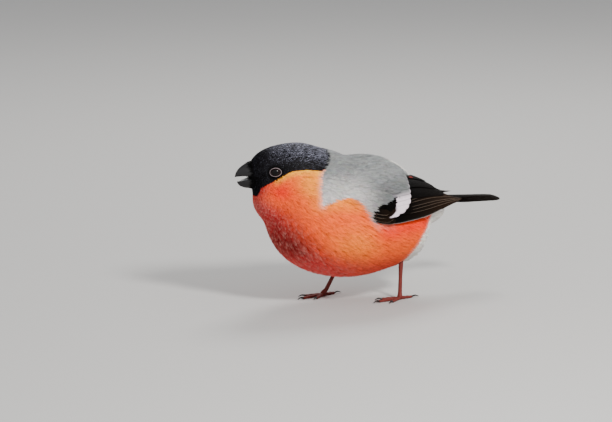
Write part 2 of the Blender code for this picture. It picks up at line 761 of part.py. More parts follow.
def build_tail():
    tail = tail_slab("tail", reach=TAIL_ROOT_LENGTH)
    length = np.linalg.norm(np.array(TAIL_TIP) - np.array(TAIL_ROOT))
    vanes = []
    for side in (1, -1):
        place = tail_place(side)
        for pair in range(TAIL_PAIRS):
            out = pair / (TAIL_PAIRS - 1)
            short = TAIL_NOTCH * (1 - out) ** 2 + TAIL_CORNER * max(5 * out - 4, 0.0)
            start = (TAIL_ROOT_LENGTH / 3, TAIL_MIDDLE_EDGE + (0.95 - TAIL_MIDDLE_EDGE) * out)
            end = (1.0 - short / length, TAIL_MIDDLE_EDGE + (1.0 - TAIL_MIDDLE_EDGE) * out)
            under = TAIL_SIDE_STEP * (side < 0)
            rise = [first - step * pair - under for first, step in TAIL_TIERS]
            vanes.append(vane(place, start, end, TAIL_FEATHER_WIDTH, rise, TAIL_TILT, lead=0.42))
    combine(tail, vanes, "UNION")
    keep_largest(tail)


def covert_row(count, half_width, places, heights, width, swell):
    """A row of coverts that lie along the tail, above or below it."""
    made = []
    for index in range(count):
        aside = half_width * (2 * index / (count - 1) - 1)
        short = 2.4 * (aside / half_width) ** 2
        lower = 0.8 * (aside / half_width) ** 2 * (1 if heights[0] > heights[1] else -1)
        root = np.array([aside * 0.8, places[0], heights[0] - lower])
        tip = np.array([aside, places[1] - short, heights[1] - lower])
        made.append((root, tip, width * (1 - 0.12 * abs(aside) / half_width)))
    vanes = []
    for order, (root, tip, wide) in enumerate(made):
        rise = 0.14 * (order % 2)
        def place(along, across, step, lift, root=root, tip=tip, wide=wide):
            point = root + (tip - root) * along
            return point + np.array([across - wide / 2 + step, 0, lift])
        vanes.append(vane(place, (0, 0), (1, 0), wide, (rise, rise), 0.0, swell=swell))
    return vanes


def rump_vanes(swell=0.0):
    return covert_row(*UPPER_COVERTS, swell) + covert_row(*UNDER_COVERTS, swell)


def build_rump():
    rump = rump_flesh()
    combine(rump, rump_vanes(), "UNION")
    combine(rump, [tail_slab("tail guard", GAP)], "DIFFERENCE")
    keep_largest(rump)


# Legs and feet


def toe(name, foot, yaw, length, claw, finish="leg brown"):
    """A toe with its curved claw, as one closed tube resting on the ground."""
    start = np.array([foot[0], foot[1], 0.0])
    way = np.array([math.sin(math.radians(yaw)), -math.cos(math.radians(yaw)), 0.0])
    run = way * length
    rings = []
    for stop in np.linspace(-0.08, 1.0, 7):
        pad = 1.0 + TOE_PADS * math.cos(6 * math.pi * stop)
        slender = 1 - TOE_TAPER * max(stop, 0.0)
        radius = TOE_RADIUS * pad * slender
        height = TOE_RADIUS * slender - SOLE_CUT
        rings.append((start + run * stop + np.array([0, 0, height]), radius))
    base = rings[-1][0]
    for stop in np.linspace(0.15, 1.0, 4):
        forward = math.sin(stop * CLAW_BEND) / math.sin(CLAW_BEND) * claw
        drop = 0.55 * math.sin(math.pi * min(stop * 1.25, 1.0)) - 0.25 * stop
        centre = base + way * forward + np.array([0, 0, drop])
        rings.append((centre, 0.52 * (1 - stop) + 0.10))
    loops = []
    side = np.array([-way[1], way[0], 0.0])
    for centre, radius in rings:
        loop = []
        for corner in range(TOE_SIDES):
            turn = 2 * math.pi * (corner + 0.5) / TOE_SIDES
            loop.append(centre + side * radius * math.cos(turn) + np.array([0, 0, radius * math.sin(turn)]))
        loops.append(loop)
    return loft(name, loops, finish)


def tube(name, path, radii, finish, sides=8):
    """A straight-sided tube through the path's points."""
    path = [np.array(point, dtype=float) for point in path]
    rings = []
    for index, point in enumerate(path):
        before = path[max(index - 1, 0)]
        after = path[min(index + 1, len(path) - 1)]
        way = (after - before) / np.linalg.norm(after - before)
        side = np.cross(way, [0, 1, 0])
        side = side / np.linalg.norm(side)
        front = np.cross(way, side)
        ring = []
        for corner in range(sides):
            turn = 2 * math.pi * corner / sides
            ring.append(point + radii[index] * (side * math.cos(turn) + front * math.sin(turn)))
        rings.append(ring)
    return loft(name, rings, finish)


def build_leg(word, foot, top, yaw):
    ground = np.array([foot[0], foot[1], 0.0])
    top = np.array(top)
    reach = top - ground
    ankle = ground + reach * (ANKLE_HEIGHT / reach[2])
    hub_path = [ground + np.array([0, 0, 0.55]), ground + np.array([0, 0, 1.3]), ankle]
    hub = tube("foot_" + word, hub_path, [1.25, 1.3, SHANK_RADIUS], "leg brown")
    toes = [
        toe("middle toe", foot, yaw, MIDDLE_TOE, FRONT_CLAW),
        toe("inner toe", foot, yaw - TOE_SPREAD, SIDE_TOE, FRONT_CLAW),
        toe("outer toe", foot, yaw + TOE_SPREAD, SIDE_TOE, FRONT_CLAW),
        toe("hind toe", foot, yaw + 180, HIND_TOE, HIND_CLAW),
    ]
    combine(hub, toes, "UNION")
    cut(hub, (0, 0, 0), (0, 0, -1))
    keep_largest(hub)
    start = ankle + reach / np.linalg.norm(reach) * GAP
    shank = tube("leg_" + word, [start, ground + reach * 0.5, top], [0.95, 0.88, 1.15], "leg brown")
    combine(shank, [torso("torso guard", GAP)], "DIFFERENCE")
    keep_largest(shank)


def main():
    for leftover in list(bpy.data.objects):
        bpy.data.objects.remove(leftover)
    build_head()
    flesh("neck", NECK_CAST, [(HEAD_CUT, 1), (NECK_CUT, -1)], "breast orange")
    torso()
    build_rump()
    build_tail()
    build_wing("left")
    build_wing("right")
    build_bill()
    build_leg("left", LEFT_FOOT, LEFT_SHANK_TOP, LEFT_TOES_YAW)
    build_leg("right", RIGHT_FOOT, RIGHT_SHANK_TOP, RIGHT_TOES_YAW)


main()
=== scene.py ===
import itertools
import math

import bmesh
import bpy
import numpy as np
from mathutils import Matrix, Vector
from mathutils.bvhtree import BVHTree


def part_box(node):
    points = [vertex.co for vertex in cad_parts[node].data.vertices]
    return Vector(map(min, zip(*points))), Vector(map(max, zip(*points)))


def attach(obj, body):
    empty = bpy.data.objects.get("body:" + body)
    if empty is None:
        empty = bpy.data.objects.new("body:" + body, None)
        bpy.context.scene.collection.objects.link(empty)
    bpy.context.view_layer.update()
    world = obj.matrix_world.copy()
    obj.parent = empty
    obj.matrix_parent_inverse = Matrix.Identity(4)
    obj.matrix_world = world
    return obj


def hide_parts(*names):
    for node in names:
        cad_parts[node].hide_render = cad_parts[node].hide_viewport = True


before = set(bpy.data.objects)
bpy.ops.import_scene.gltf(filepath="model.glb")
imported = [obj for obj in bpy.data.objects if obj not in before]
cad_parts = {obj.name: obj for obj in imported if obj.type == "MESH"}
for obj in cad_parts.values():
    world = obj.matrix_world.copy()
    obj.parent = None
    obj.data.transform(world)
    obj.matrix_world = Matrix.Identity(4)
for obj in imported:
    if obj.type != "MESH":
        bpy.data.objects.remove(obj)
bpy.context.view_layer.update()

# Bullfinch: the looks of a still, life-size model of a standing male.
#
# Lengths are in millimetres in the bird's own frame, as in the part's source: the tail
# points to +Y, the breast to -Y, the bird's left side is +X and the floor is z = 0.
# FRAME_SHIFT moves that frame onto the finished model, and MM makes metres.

MM = 0.001
FRAME_SHIFT = np.array([-0.2, 0.2, 0.0])
MERGE = 2e-6  # metres between points of a seam that become one

# Feathered body: centre, radii, pitch and yaw of each egg-shaped form
BODY_FORMS = (
    ((0.0, -12.0, 37.2), (25.8, 39.0, 25.7), 2, 0),
    ((0.0, -33.5, 44.6), (22.5, 22.8, 25.2), 0, 0),
    ((-3.0, -49.5, 50.8), (10.9, 12.9, 10.4), 0, 14),
    ((0.0, -7.0, 47.7), (22.0, 28.2, 21.6), 0, 0),
    ((0.0, 8.6, 34.4), (18.5, 19.0, 18.6), -6, 0),
    ((0.0, 16.0, 43.5), (11.5, 24.0, 9.5), -14, 0),
    ((0.0, 27.0, 43.2), (6.9, 21.5, 2.1), 0, 0),
    ((-0.5, -29.0, 61.4), (15.0, 15.0, 12.0), 0, 8),
    ((-0.8, -43.2, 64.6), (12.3, 15.8, 13.0), 8, 17),
    ((-3.9, -53.0, 66.2), (7.7, 11.5, 9.3), 12, 17),
    ((-4.4, -55.0, 61.5), (7.5, 7.0, 8.4), 10, 17),
)
BLEND = 2.2  # how softly the forms run into each other
BODY_MIDDLE = np.array([-0.5, -26.0, 50.0])  # every part of the body is in sight from here
BODY_REACH = 90.0  # further from that middle than any of its surface
REACH_STEP = 4.0  # first, coarse step of the search for the surface

HEAD_CENTRE = np.array([-1.0, -43.8, 64.0])
HEAD_YAW = math.radians(17.0)  # the head's turn to the bird's right
AHEAD = np.array([-math.sin(HEAD_YAW), -math.cos(HEAD_YAW), 0.0])
LEFT = np.array([math.cos(HEAD_YAW), -math.sin(HEAD_YAW), 0.0])
UP = np.array([0.0, 0.0, 1.0])

# Folded wing: place along, lower edge, upper edge and bulge of each station
WING_STATIONS = (
    (0.00, (19.0, -30.0, 47.5), (13.0, -29.0, 57.0), 4.0),
    (0.14, (22.4, -21.0, 44.5), (11.0, -21.0, 61.0), 5.5),
    (0.26, (26.0, -12.8, 40.7), (9.5, -12.0, 62.5), 6.5),
    (0.52, (25.1, 6.4, 40.3), (4.5, 6.5, 60.5), 6.5),
    (0.66, (21.5, 17.0, 40.8), (3.8, 16.5, 58.2), 4.5),
    (0.80, (17.0, 27.4, 42.0), (4.0, 27.5, 53.4), 2.4),
    (0.91, (13.2, 37.0, 43.0), (5.0, 36.6, 48.6), 0.9),
    (1.00, (10.6, 45.4, 43.5), (8.6, 44.4, 44.8), 0.1),
)
WING_KNOTS = np.array([station[0] for station in WING_STATIONS])
WING_MIDDLES = np.array([(lower[1] + upper[1]) / 2 for _, lower, upper, _ in WING_STATIONS])
# Height of the feathers' outer surface over the wing's base surface, in its three parts
SHOULDER_RISE = 1.5
FLIGHT_RISE = 1.2
COVERT_RISE = 1.85
# Greater coverts: least, growth and power of the arc that their tips make, and their length
COVERT_ARC = (0.33, 0.27, 0.42)
COVERT_LENGTH = 0.17
# Where the greater coverts end, and where their pale tips begin: place across the wing, and
# place along it
COVERT_TIPS = (
    (0.05, 0.335), (0.085, 0.365), (0.125, 0.44), (0.16, 0.47), (0.21, 0.495), (0.26, 0.51),
    (0.42, 0.53), (0.64, 0.56), (0.90, 0.61))
BAR_START = (
    (0.05, 0.50), (0.08, 0.40), (0.09, 0.325), (0.115, 0.35), (0.16, 0.38), (0.29, 0.386),
    (0.33, 0.376), (0.36, 0.30))
# Place across the wing and width of each greater covert
COVERTS = (
    (0.028, 2.0), (0.055, 2.0), (0.082, 2.0), (0.112, 2.4), (0.150, 3.0), (0.205, 3.5), (0.270, 4.0),
    (0.345, 4.5), (0.430, 4.9), (0.520, 5.2), (0.615, 5.4), (0.715, 5.6), (0.820, 5.0))
WING_DEEP = 3.0  # half of the depth from a wing's outer surface to its inner one
WING_BLEND = 0.6  # how softly the wings' outer surface runs into the body's
RIGHT_WING_SHIFT = (3.6, 5.0, 0.8)  # of its tip from the left one's mirror image
RIGHT_WING_SAG = 2.2  # of its middle from the left one's
MIRROR = np.array([-1.0, 1.0, 1.0])

# Flight feathers from the lower edge up: where the exposed edge of each starts and ends, along
# and across the wing, and its width
PRIMARIES = (
    ((0.24, 0.000), (0.965, 0.00), 4.2),
    ((0.25, 0.074), (0.985, 0.12), 4.2),
    ((0.27, 0.090), (0.995, 0.21), 4.4),
    ((0.28, 0.118), (0.965, 0.27), 4.6),
    ((0.30, 0.155), (0.935, 0.37), 5.0),
    ((0.32, 0.190), (0.900, 0.42), 5.2),
)
SECONDARIES = (
    ((0.34, 0.23), (0.875, 0.44), 5.2),
    ((0.36, 0.27), (0.855, 0.48), 5.4),
    ((0.38, 0.31), (0.835, 0.52), 5.6),
)
TERTIALS = (
    ((0.42, 0.25), (0.870, 0.37), 8.6),
    ((0.44, 0.44), (0.820, 0.58), 8.8),
    ((0.46, 0.64), (0.775, 0.80), 8.2),
)
# Where each primary covert ends along the wing, from the lower edge up
PRIMARY_COVERT_TIPS = (0.37, 0.34, 0.36, 0.33, 0.345, 0.32)

TAIL_ROOT = np.array([0.0, 31.0, 45.1])
TAIL_TIP = np.array([0.0, 70.8, 42.8])
TAIL_WIDTHS = (9.5, 15.0)  # at its root and at its tip
TAIL_ARCH = 0.9  # how far its sides droop at the tip
TAIL_VANE = 6.6  # width of one tail feather

# Legs: sole centre, top of the shank, and the way the toes point
LEGS = {
    "left": ((13.5, 7.0), (10.0, 10.0, 20.0), 6.0),
    "right": ((-13.5, -19.3), (-9.0, -11.5, 18.0), 10.0),
}
ANKLE_HEIGHT = 3.2
# Turn of each toe from the way the foot points, its length and its claw's length
TOES = ((0, 12.5, 3.9), (-27, 8.5, 3.9), (27, 8.5, 3.9), (180, 7.0, 5.0))

# Plumage borders. Cap: place forward of the head's centre and height above it.
CAP_EDGE = (
    (-16.8, 8.3), (-15.7, 6.6), (-14.5, 4.7), (-13.0, 3.1), (-10.8, 2.0), (-3.9, 3.0),
    (2.4, 2.7), (5.7, 1.6), (9.5, -1.2), (14.0, -3.5), (17.2, -6.0), (18.5, -10.2))
# Grey back: its front edge at each height, and its lower edge at each place along the body
GREY_FRONT = ((50.3, -40.8), (58.1, -39.7), (64.6, -37.2), (72.0, -30.0))
FLANK_EDGE = (
    (-41.0, 50.3), (-32.5, 52.6), (-26.0, 53.4), (-23.2, 52.2), (-21.4, 50.0), (-20.0, 47.3),
    (-18.3, 44.0), (-15.6, 40.8), (-9.0, 40.0), (20.0, 39.5))
# Where the grey feathers end on the wing: place across it, and place along it
WING_GREY_END = (
    (0.00, 0.245), (0.08, 0.235), (0.14, 0.262), (0.20, 0.268), (0.25, 0.290), (0.285, 0.345),
    (0.32, 0.390), (0.37, 0.430), (0.44, 0.500), (0.52, 0.540), (0.64, 0.567), (0.90, 0.61))
# White vent: its front edge at each height
VENT_EDGE = ((10.0, 5.0), (17.8, 8.0), (24.0, 11.5), (30.0, 15.5), (38.5, 23.0), (45.0, 30.0))
RUMP_START = 16.0  # where the grey back gives way to the white rump
TAIL_COVERTS_START = 29.0  # where black feathers begin over the tail
TIP_WIDTH = 0.1  # how far a barb reaches to its side, on the head

# Plumage colours, darker and purer than they look in the scene's light
COLOURS = {
    "cap": (0.0018, 0.0015, 0.0018),
    # painted glint: the pale bluish highlight painted on the tips of the cap's feathers
    "cap painted glint": (0.50, 0.51, 0.66),
    "grey": (0.225, 0.235, 0.235),
    "pale grey": (0.47, 0.45, 0.44),
    "orange": (0.95, 0.105, 0.010),
    "yellow orange": (1.00, 0.38, 0.018),
    "red orange": (0.92, 0.022, 0.002),
    "crimson": (0.54, 0.010, 0.016),
    "pink": (0.94, 0.42, 0.34),
    "white": (0.90, 0.86, 0.79),
    "flight": (0.0010, 0.0007, 0.0005),
    "brown flight": (0.012, 0.006, 0.003),
    "pale edge": (0.33, 0.25, 0.19),
    "wing bar": (0.66, 0.56, 0.62),
    "tertial red": (0.17, 0.012, 0.008),
}
COLOURS = {name: np.array(colour) for name, colour in COLOURS.items()}


# Small tools for rows of numbers


def smooth(low, high, value):
    """0 below low, 1 above high and a soft step between."""
    t = np.clip((value - low) / (high - low), 0.0, 1.0)
    return t * t * (3 - 2 * t)


def bump(value, middle, reach):
    """1 at a middle value, falling off softly over a reach on both sides."""
    return np.exp(-(((value - middle) / reach) ** 2))


def unit(rows, least=0.0):
    """Rows scaled to length 1, apart from those shorter than a least length."""
    return rows / np.maximum(np.linalg.norm(rows, axis=1), least)[:, None]


def rows_of(colour, count):
    """One colour, once for each of a number of places."""
    return np.tile(colour, (count, 1))


def mix(first, second, share):
    """Blend rows of colours by the share of each."""
    return first + (second - first) * np.asarray(share)[:, None]


def read_edge(edge, value, **past):
    """Where a border lies: a border is pairs of a place and what is read there."""
    return np.interp(value, *zip(*edge), **past)


# Surfaces that the feathers lie on


def turned(pitch, yaw):
    """Axes of a form: pitch lowers its front, yaw turns its front to -X."""
    down, aside = math.radians(pitch), math.radians(yaw)
    tip = np.array([
        [1, 0, 0],
        [0, math.cos(down), -math.sin(down)],
        [0, math.sin(down), math.cos(down)]])
    spin = np.array([
        [math.cos(aside), math.sin(aside), 0],
        [-math.sin(aside), math.cos(aside), 0],
        [0, 0, 1]])
    return spin @ tip


FORMS = [(np.array(c), np.array(r), turned(pitch, yaw)) for c, r, pitch, yaw in BODY_FORMS]


def body_distance(points):
    """Distance from the blended body surface, negative inside it."""
    each = []
    for centre, radii, axes in FORMS:
        local = (points - centre) @ axes
        scaled = np.linalg.norm(local / radii, axis=-1)
        slope = np.linalg.norm(local / radii**2, axis=-1)
        each.append(scaled * (scaled - 1) / np.maximum(slope, 1e-9))
    each = np.stack(each)
    nearest = each.min(0)
    return nearest - BLEND * np.log(np.exp(-(each - nearest) / BLEND).sum(0))


def read_stations(along, part):
    """Smoothly read one part of the wing's stations."""
    values = np.array([station[part] for station in WING_STATIONS], dtype=float)
    slopes = np.gradient(values, WING_KNOTS, axis=0)
    index = np.clip(np.searchsorted(WING_KNOTS, along) - 1, 0, len(WING_KNOTS) - 2)
    span = WING_KNOTS[index + 1] - WING_KNOTS[index]
    t = (along - WING_KNOTS[index]) / span
    if values.ndim > 1:
        t, span = t[:, None], span[:, None]
    start = (2 * t**3 - 3 * t**2 + 1) * values[index] + (t**3 - 2 * t**2 + t) * span * slopes[index]
    end = (3 * t**2 - 2 * t**3) * values[index + 1] + (t**3 - t**2) * span * slopes[index + 1]
    return start + end


def wing_lines(along):
    """Lower edge, chord, outward direction and bulge of the wing at places along it."""
    lower, upper, bulge = (read_stations(along, part) for part in (1, 2, 3))
    chord = upper - lower
    outward = unit(np.stack([chord[:, 2], np.zeros(len(chord)), -chord[:, 0]], axis=1))
    return lower, chord, outward, bulge


def wing_base(along, across):
    """The wing's base surface: along 0 to 1 from bend to tip, across 0 to 1 upward."""
    lower, chord, outward, bulge = wing_lines(along)
    rise = bulge * 4 * across * (1 - across)
    return lower + chord * across[:, None] + outward * rise[:, None]


def far_shift(along):
    """How far the right wing lies from the mirror image of the left one."""
    shift = np.array(RIGHT_WING_SHIFT) * (along**2)[:, None]
    shift[:, 2] -= RIGHT_WING_SAG * np.sin(math.pi * along)
    return shift


def wing_point(side, along, across, rise):
    """Points above a wing's base surface by a rise."""
    step = 0.01
    ahead = wing_base(np.minimum(along + step, 1.0), across)
    behind = wing_base(np.maximum(along - step, 0.0), across)
    above = wing_base(along, np.minimum(across + step, 1.0))
    below = wing_base(along, np.maximum(across - step, 0.0))
    facing = unit(np.cross(above - below, ahead - behind))
    facing = facing * np.sign(facing[:, 0])[:, None]
    points = wing_base(along, across) + facing * rise[:, None]
    return points * MIRROR + far_shift(along) if side < 0 else points


def covert_tip(across):
    """How far along the wing the greater covert at a place across it ends."""
    least, growth, power = COVERT_ARC
    return least + growth * np.maximum(across, 0.0) ** power


def cover_rise(along, across):
    """Height of the feathers' outer surface above the wing's base surface."""
    crown = 0.45 + 0.55 * np.sin(math.pi * np.clip(across, 0.0, 1.0))
    tip = covert_tip(across)
    front = SHOULDER_RISE * crown
    return front + (COVERT_RISE - front) * smooth(tip - 0.16, tip - 0.04, along)


def wing_frame(points, side):
    """Along, across and height over the wing's outer surface, with distance past its edges."""
    along = np.interp(points[:, 1], WING_MIDDLES, WING_KNOTS)
    if side < 0:
        along = np.interp(points[:, 1] - RIGHT_WING_SHIFT[1] * along**2, WING_MIDDLES, WING_KNOTS)
        points = (points - far_shift(along)) * MIRROR
    lower, chord, outward, bulge = wing_lines(along)
    length = np.linalg.norm(chord, axis=1)
    offset = points - lower
    across = (offset * chord).sum(1) / length**2
    inside = np.clip(across, 0.0, 1.0)
    height = (offset * outward).sum(1) - bulge * 4 * inside * (1 - inside)
    beyond = np.maximum(WING_MIDDLES[0] - points[:, 1], points[:, 1] - WING_MIDDLES[-1])
    past = np.maximum(np.maximum(-across, across - 1) * length, beyond)
    return along, across, height - cover_rise(along, inside), np.maximum(past, 0.0)


def coat_distance(points, over=1.0):
    """Distance from the body's outer surface, with its folded wings where over is 1."""
    body = body_distance(points)
    nearest = body
    for side in (1, -1):
        _, _, height, past = wing_frame(points, side)
        slab = np.abs(height + WING_DEEP) - WING_DEEP
        wing = np.where(past > 0, np.hypot(np.maximum(slab, 0.0), past), slab)
        low = np.minimum(nearest, wing)
        both = np.exp((low - nearest) / WING_BLEND) + np.exp((low - wing) / WING_BLEND)
        nearest = low - WING_BLEND * np.log(both)
    return np.where(over > 0, nearest, body)


def gradient(distance, points):
    """The way a surface faces near points."""
    step = 0.05
    rise = [distance(points + offset) - distance(points - offset) for offset in np.eye(3) * step]
    return unit(np.stack(rise, axis=1), 1e-9)


def settle(distance, points, level, turns=2):
    """Move points straight out or in to a level of a surface."""
    for _ in range(turns):
        facing = gradient(distance, points)
        points = points + facing * (level - distance(points))[:, None]
    return points


def head_places(points):
    """Places forward, to the left and up from the head's centre."""
    offset = points - HEAD_CENTRE
    return offset @ AHEAD, offset @ LEFT, offset[:, 2]


# Plumage


def vent_place(points):
    """Distance behind the border between the orange belly and the white vent."""
    return points[:, 1] - 2.6 - read_edge(VENT_EDGE, points[:, 2])


def breast_colour(points, facing, below_cap, behind_front):
    """Colours of the breast, cheeks and flanks, and how deep and frosted the crimson is.

    The sides are orange, the front and the belly crimson, partly the plumage's own deeper red and partly
    painted shade where they face forward and down; the parts under the cap and over the wing are
    yellower. The lower front gets further painted shade, and the throat and the underside are lifted by
    painted light."""
    forward, _, up = head_places(points)
    y, z = points[:, 1], points[:, 2]
    yellow, pink = COLOURS["yellow orange"], COLOURS["pink"]
    upper = smooth(44, 52, z) * smooth(-50, -40, y)
    middle = bump(y, -24, 12) * bump(z, 30, 9)
    colour = rows_of(COLOURS["orange"], len(points))
    colour = mix(colour, yellow, np.maximum(0.42 * upper, 0.30 * middle))
    rear_cheek = bump(forward, -4, 6) * smooth(-12, -4, up)
    rim = bump(np.maximum(below_cap, 0.0), 0.0, 2.6) * smooth(-15, -11, forward)
    rim = rim * smooth(13, 10, forward)
    colour = mix(colour, yellow, np.maximum(rim, 0.45 * rear_cheek))
    cheek = bump(forward, 8.5, 5.0) * bump(up, -7.5, 4.2)
    under_wing = bump(z, 37, 5) * smooth(-20, -8, y)
    colour = mix(colour, COLOURS["red orange"], np.maximum(0.95 * cheek, 0.85 * under_wing))
    # Crimson where the breast faces forward and down: partly the plumage's own deeper red, partly
    # painted shade on the side turned from the light
    deep = smooth(0.32, 0.86, facing @ np.array([0.0, -0.72, -0.69])) * (1 - 0.75 * rim)
    belly = 0.6 * smooth(26, 14, z) * smooth(16, 2, y)
    # Painted shade darkens the crimson on the breast's lower front; painted light makes it paler towards
    # the bottom, where little light reaches
    shaded = bump(y, -50, 9) * bump(z, 32, 10)
    crimson = COLOURS["crimson"] * (1.1 - 0.6 * shaded + 0.4 * smooth(28, 18, z))[:, None]
    colour = mix(colour, crimson, np.maximum(deep, belly))
    throat = bump(forward, 19.0, 5.0) * bump(up, -15.5, 5.0)
    deep = np.maximum(deep, 1.35 * throat)
    # Painted light: pink lifts the throat, which lies in the head's shade, and the dimly lit underside
    colour = mix(colour, pink, 0.14 * throat + 0.07 * smooth(28, 16, z))
    pale = bump(behind_front, 0.0, 1.6) * smooth(47, 52, z)
    pale = pale + 0.8 * smooth(-4.0, -0.5, vent_place(points))
    return mix(colour, pink, np.clip(0.75 * pale, 0, 1)), deep


def back_colour(points):
    """Grey of the back, paler in front and whitish over the rump."""
    y, z = points[:, 1], points[:, 2]
    back = rows_of(COLOURS["grey"], len(points))
    back = mix(back, COLOURS["pale grey"], smooth(67, 54, z) * smooth(-8, -24, y))
    back = back * (1 - 0.42 * smooth(-24, -8, y) * smooth(64, 56, z) - 0.18 * smooth(60, 67, z))[:, None]
    rump = smooth(3.0, 12.0, y) * smooth(8.5, 4.5, np.abs(points[:, 0]))
    return mix(back, COLOURS["white"], 0.75 * rump)


def plumage(points, facing):
    """Zone of each place (0 cap, 1 grey back, 2 breast, 3 white), its colour, and its deepness."""
    forward, _, up = head_places(points)
    y, z = points[:, 1], points[:, 2]
    below_cap = read_edge(CAP_EDGE, forward, left=99.0) - up - TIP_WIDTH
    behind_front = y - read_edge(GREY_FRONT, z)
    zone = np.full(len(points), 2)
    zone[vent_place(points) > 0] = 3
    zone[(y > RUMP_START) & (z > 39.5)] = 3
    zone[(behind_front > 0) & (z > read_edge(FLANK_EDGE, y)) & (y < RUMP_START)] = 1
    zone[below_cap < 0] = 0
    cap = rows_of(COLOURS["cap"], len(points))
    breast, deep = breast_colour(points, facing, below_cap, behind_front)
    tail_coverts = smooth(-0.5, 0.5, y - TAIL_COVERTS_START) * smooth(0.2, 0.5, facing[:, 2])
    white = mix(rows_of(COLOURS["white"], len(points)), COLOURS["flight"], tail_coverts)
    return zone, np.choose(zone[:, None], [cap, back_colour(points), breast, white]), deep


# Meshes


def to_model(points):
    """Places in the finished model, in metres, from places in the bird's own frame."""
    return (np.asarray(points, dtype=float) + FRAME_SHIFT) * MM


def add_to_scene(name, data):
    """Put a mesh, a lamp or a camera in the scene."""
    item = bpy.data.objects.new(name, data)
    bpy.context.scene.collection.objects.link(item)
    return item


def piece_from(mesh, finish, slot, nodes=()):
    """Make a mesh a piece of the model under its own name, with its finish."""
    mesh.materials.append(finish)
    mesh.shade_smooth()
    piece = add_to_scene(mesh.name, mesh)
    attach(piece, "root")
    if nodes:
        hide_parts(*nodes)


def add_bent_grid(edit, columns, rows, place):
    """Bend a grid to place(u, v), which also gives its colours, and keep u and v on it."""
    unwrap = edit.loops.layers.uv["Feather"]
    shade = edit.loops.layers.float_color["Colour"]
    before = set(edit.verts)
    bmesh.ops.create_grid(edit, x_segments=columns, y_segments=rows, size=0.5)
    verts = [vert for vert in edit.verts if vert not in before]
    spots = np.array([vert.co[:2] for vert in verts]) + 0.5
    points, colours = place(spots[:, 0], spots[:, 1])
    for vert, spot, point, colour in zip(verts, spots, to_model(points), colours):
        vert.co = point
        for loop in vert.link_loops:
            loop[unwrap].uv = spot
            loop[shade] = (*colour, 1.0)


def new_edit():
    """A mesh to build in, with a UV map and a colour."""
    edit = bmesh.new()
    edit.loops.layers.uv.new("Feather")
    edit.loops.layers.float_color.new("Colour")
    return edit


def to_mesh(edit, name):
    """Turn what was built into a mesh."""
    mesh = bpy.data.meshes.new(name)
    edit.to_mesh(mesh)
    edit.free()
    return mesh


def close_piece(edit, name, finish, slot, nodes=()):
    """Merge seams and poles, close open ends, turn faces outward, and make it a piece."""
    bmesh.ops.remove_doubles(edit, verts=edit.verts, dist=MERGE)
    edges = [edge for edge in edit.edges if edge.is_boundary]
    if edges:
        bmesh.ops.holes_fill(edit, edges=edges, sides=0)
    bmesh.ops.recalc_face_normals(edit, faces=edit.faces)
    piece_from(to_mesh(edit, name), finish, slot, nodes)


def bent_piece(name, columns, rows, place, finish, slot, nodes=()):
    """Make a piece of one bent grid."""
    edit = new_edit()
    add_bent_grid(edit, columns, rows, place)
    close_piece(edit, name, finish, slot, nodes)


# Materials


def new_group(name, inputs, outputs):
    """An empty shader group, the values it is given and the results it puts out."""
    group = bpy.data.node_groups.new(name, "ShaderNodeTree")
    for way, sockets in (("INPUT", inputs), ("OUTPUT", outputs)):
        for label, kind in sockets:
            group.interface.new_socket(label, in_out=way, socket_type="NodeSocket" + kind)
    given = group.nodes.new("NodeGroupInput").outputs
    return group, given, group.nodes.new("NodeGroupOutput").inputs


def add_math(tree, operation, *values):
    """A step of arithmetic on numbers or on the results of other nodes."""
    node = tree.nodes.new("ShaderNodeMath")
    node.operation = operation
    for socket, value in zip(node.inputs, values):
        if isinstance(value, float):
            socket.default_value = value
        else:
            tree.links.new(value, socket)
    return node.outputs[0]


def speckle_group():
    """Shader group: a fine grain over a colour, as in soft plumage."""
    group, given, result = new_group(
        "Soft plumage",
        (("Colour", "Color"), ("Scale", "Float"), ("Depth", "Float")),
        (("Colour", "Color"), ("Height", "Float")))
    place = group.nodes.new("ShaderNodeTexCoord")
    noise = group.nodes.new("ShaderNodeTexNoise")
    noise.inputs["Detail"].default_value = 3.0
    group.links.new(place.outputs["Object"], noise.inputs["Vector"])
    group.links.new(given["Scale"], noise.inputs["Scale"])
    remain = add_math(group, "MULTIPLY_ADD", given["Depth"], -0.5, 1.0)
    swing = add_math(group, "MULTIPLY_ADD", noise.outputs["Fac"], given["Depth"], remain)
    scale = group.nodes.new("ShaderNodeVectorMath")
    scale.operation = "SCALE"
    group.links.new(given["Colour"], scale.inputs[0])
    group.links.new(swing, scale.inputs["Scale"])
    group.links.new(scale.outputs[0], result["Colour"])
    group.links.new(noise.outputs["Fac"], result["Height"])
    return group


def barb_group():
    """Shader group: fine slanting barbs on both sides of a quill, from a feather's own map."""
    group, given, result = new_group("Feather barbs", (("Barbs", "Float"),), (("Height", "Float"),))
    place = group.nodes.new("ShaderNodeUVMap")
    place.uv_map = "Feather"
    parts = group.nodes.new("ShaderNodeSeparateXYZ")
    group.links.new(place.outputs["UV"], parts.inputs[0])
    fold = add_math(group, "PINGPONG", parts.outputs["X"], 0.25)
    slant = add_math(group, "MULTIPLY_ADD", fold, 0.7, parts.outputs["Y"])
    count = add_math(group, "MULTIPLY", slant, given["Barbs"])
    group.links.new(add_math(group, "SINE", count), result["Height"])
    return group


SPECKLE = speckle_group()
BARBS = barb_group()


def new_material(name, roughness, gloss=0.5):
    """A material with its roughness and the strength of its gloss."""
    finish = bpy.data.materials.new(name)
    finish.use_nodes = True
    shader = finish.node_tree.nodes["Principled BSDF"]
    shader.inputs["Roughness"].default_value = roughness
    shader.inputs["Specular IOR Level"].default_value = gloss
    return finish, finish.node_tree, shader


def own_colours(tree):
    """The colours that a piece's points carry."""
    colours = tree.nodes.new("ShaderNodeVertexColor")
    colours.layer_name = "Colour"
    return colours.outputs["Color"]


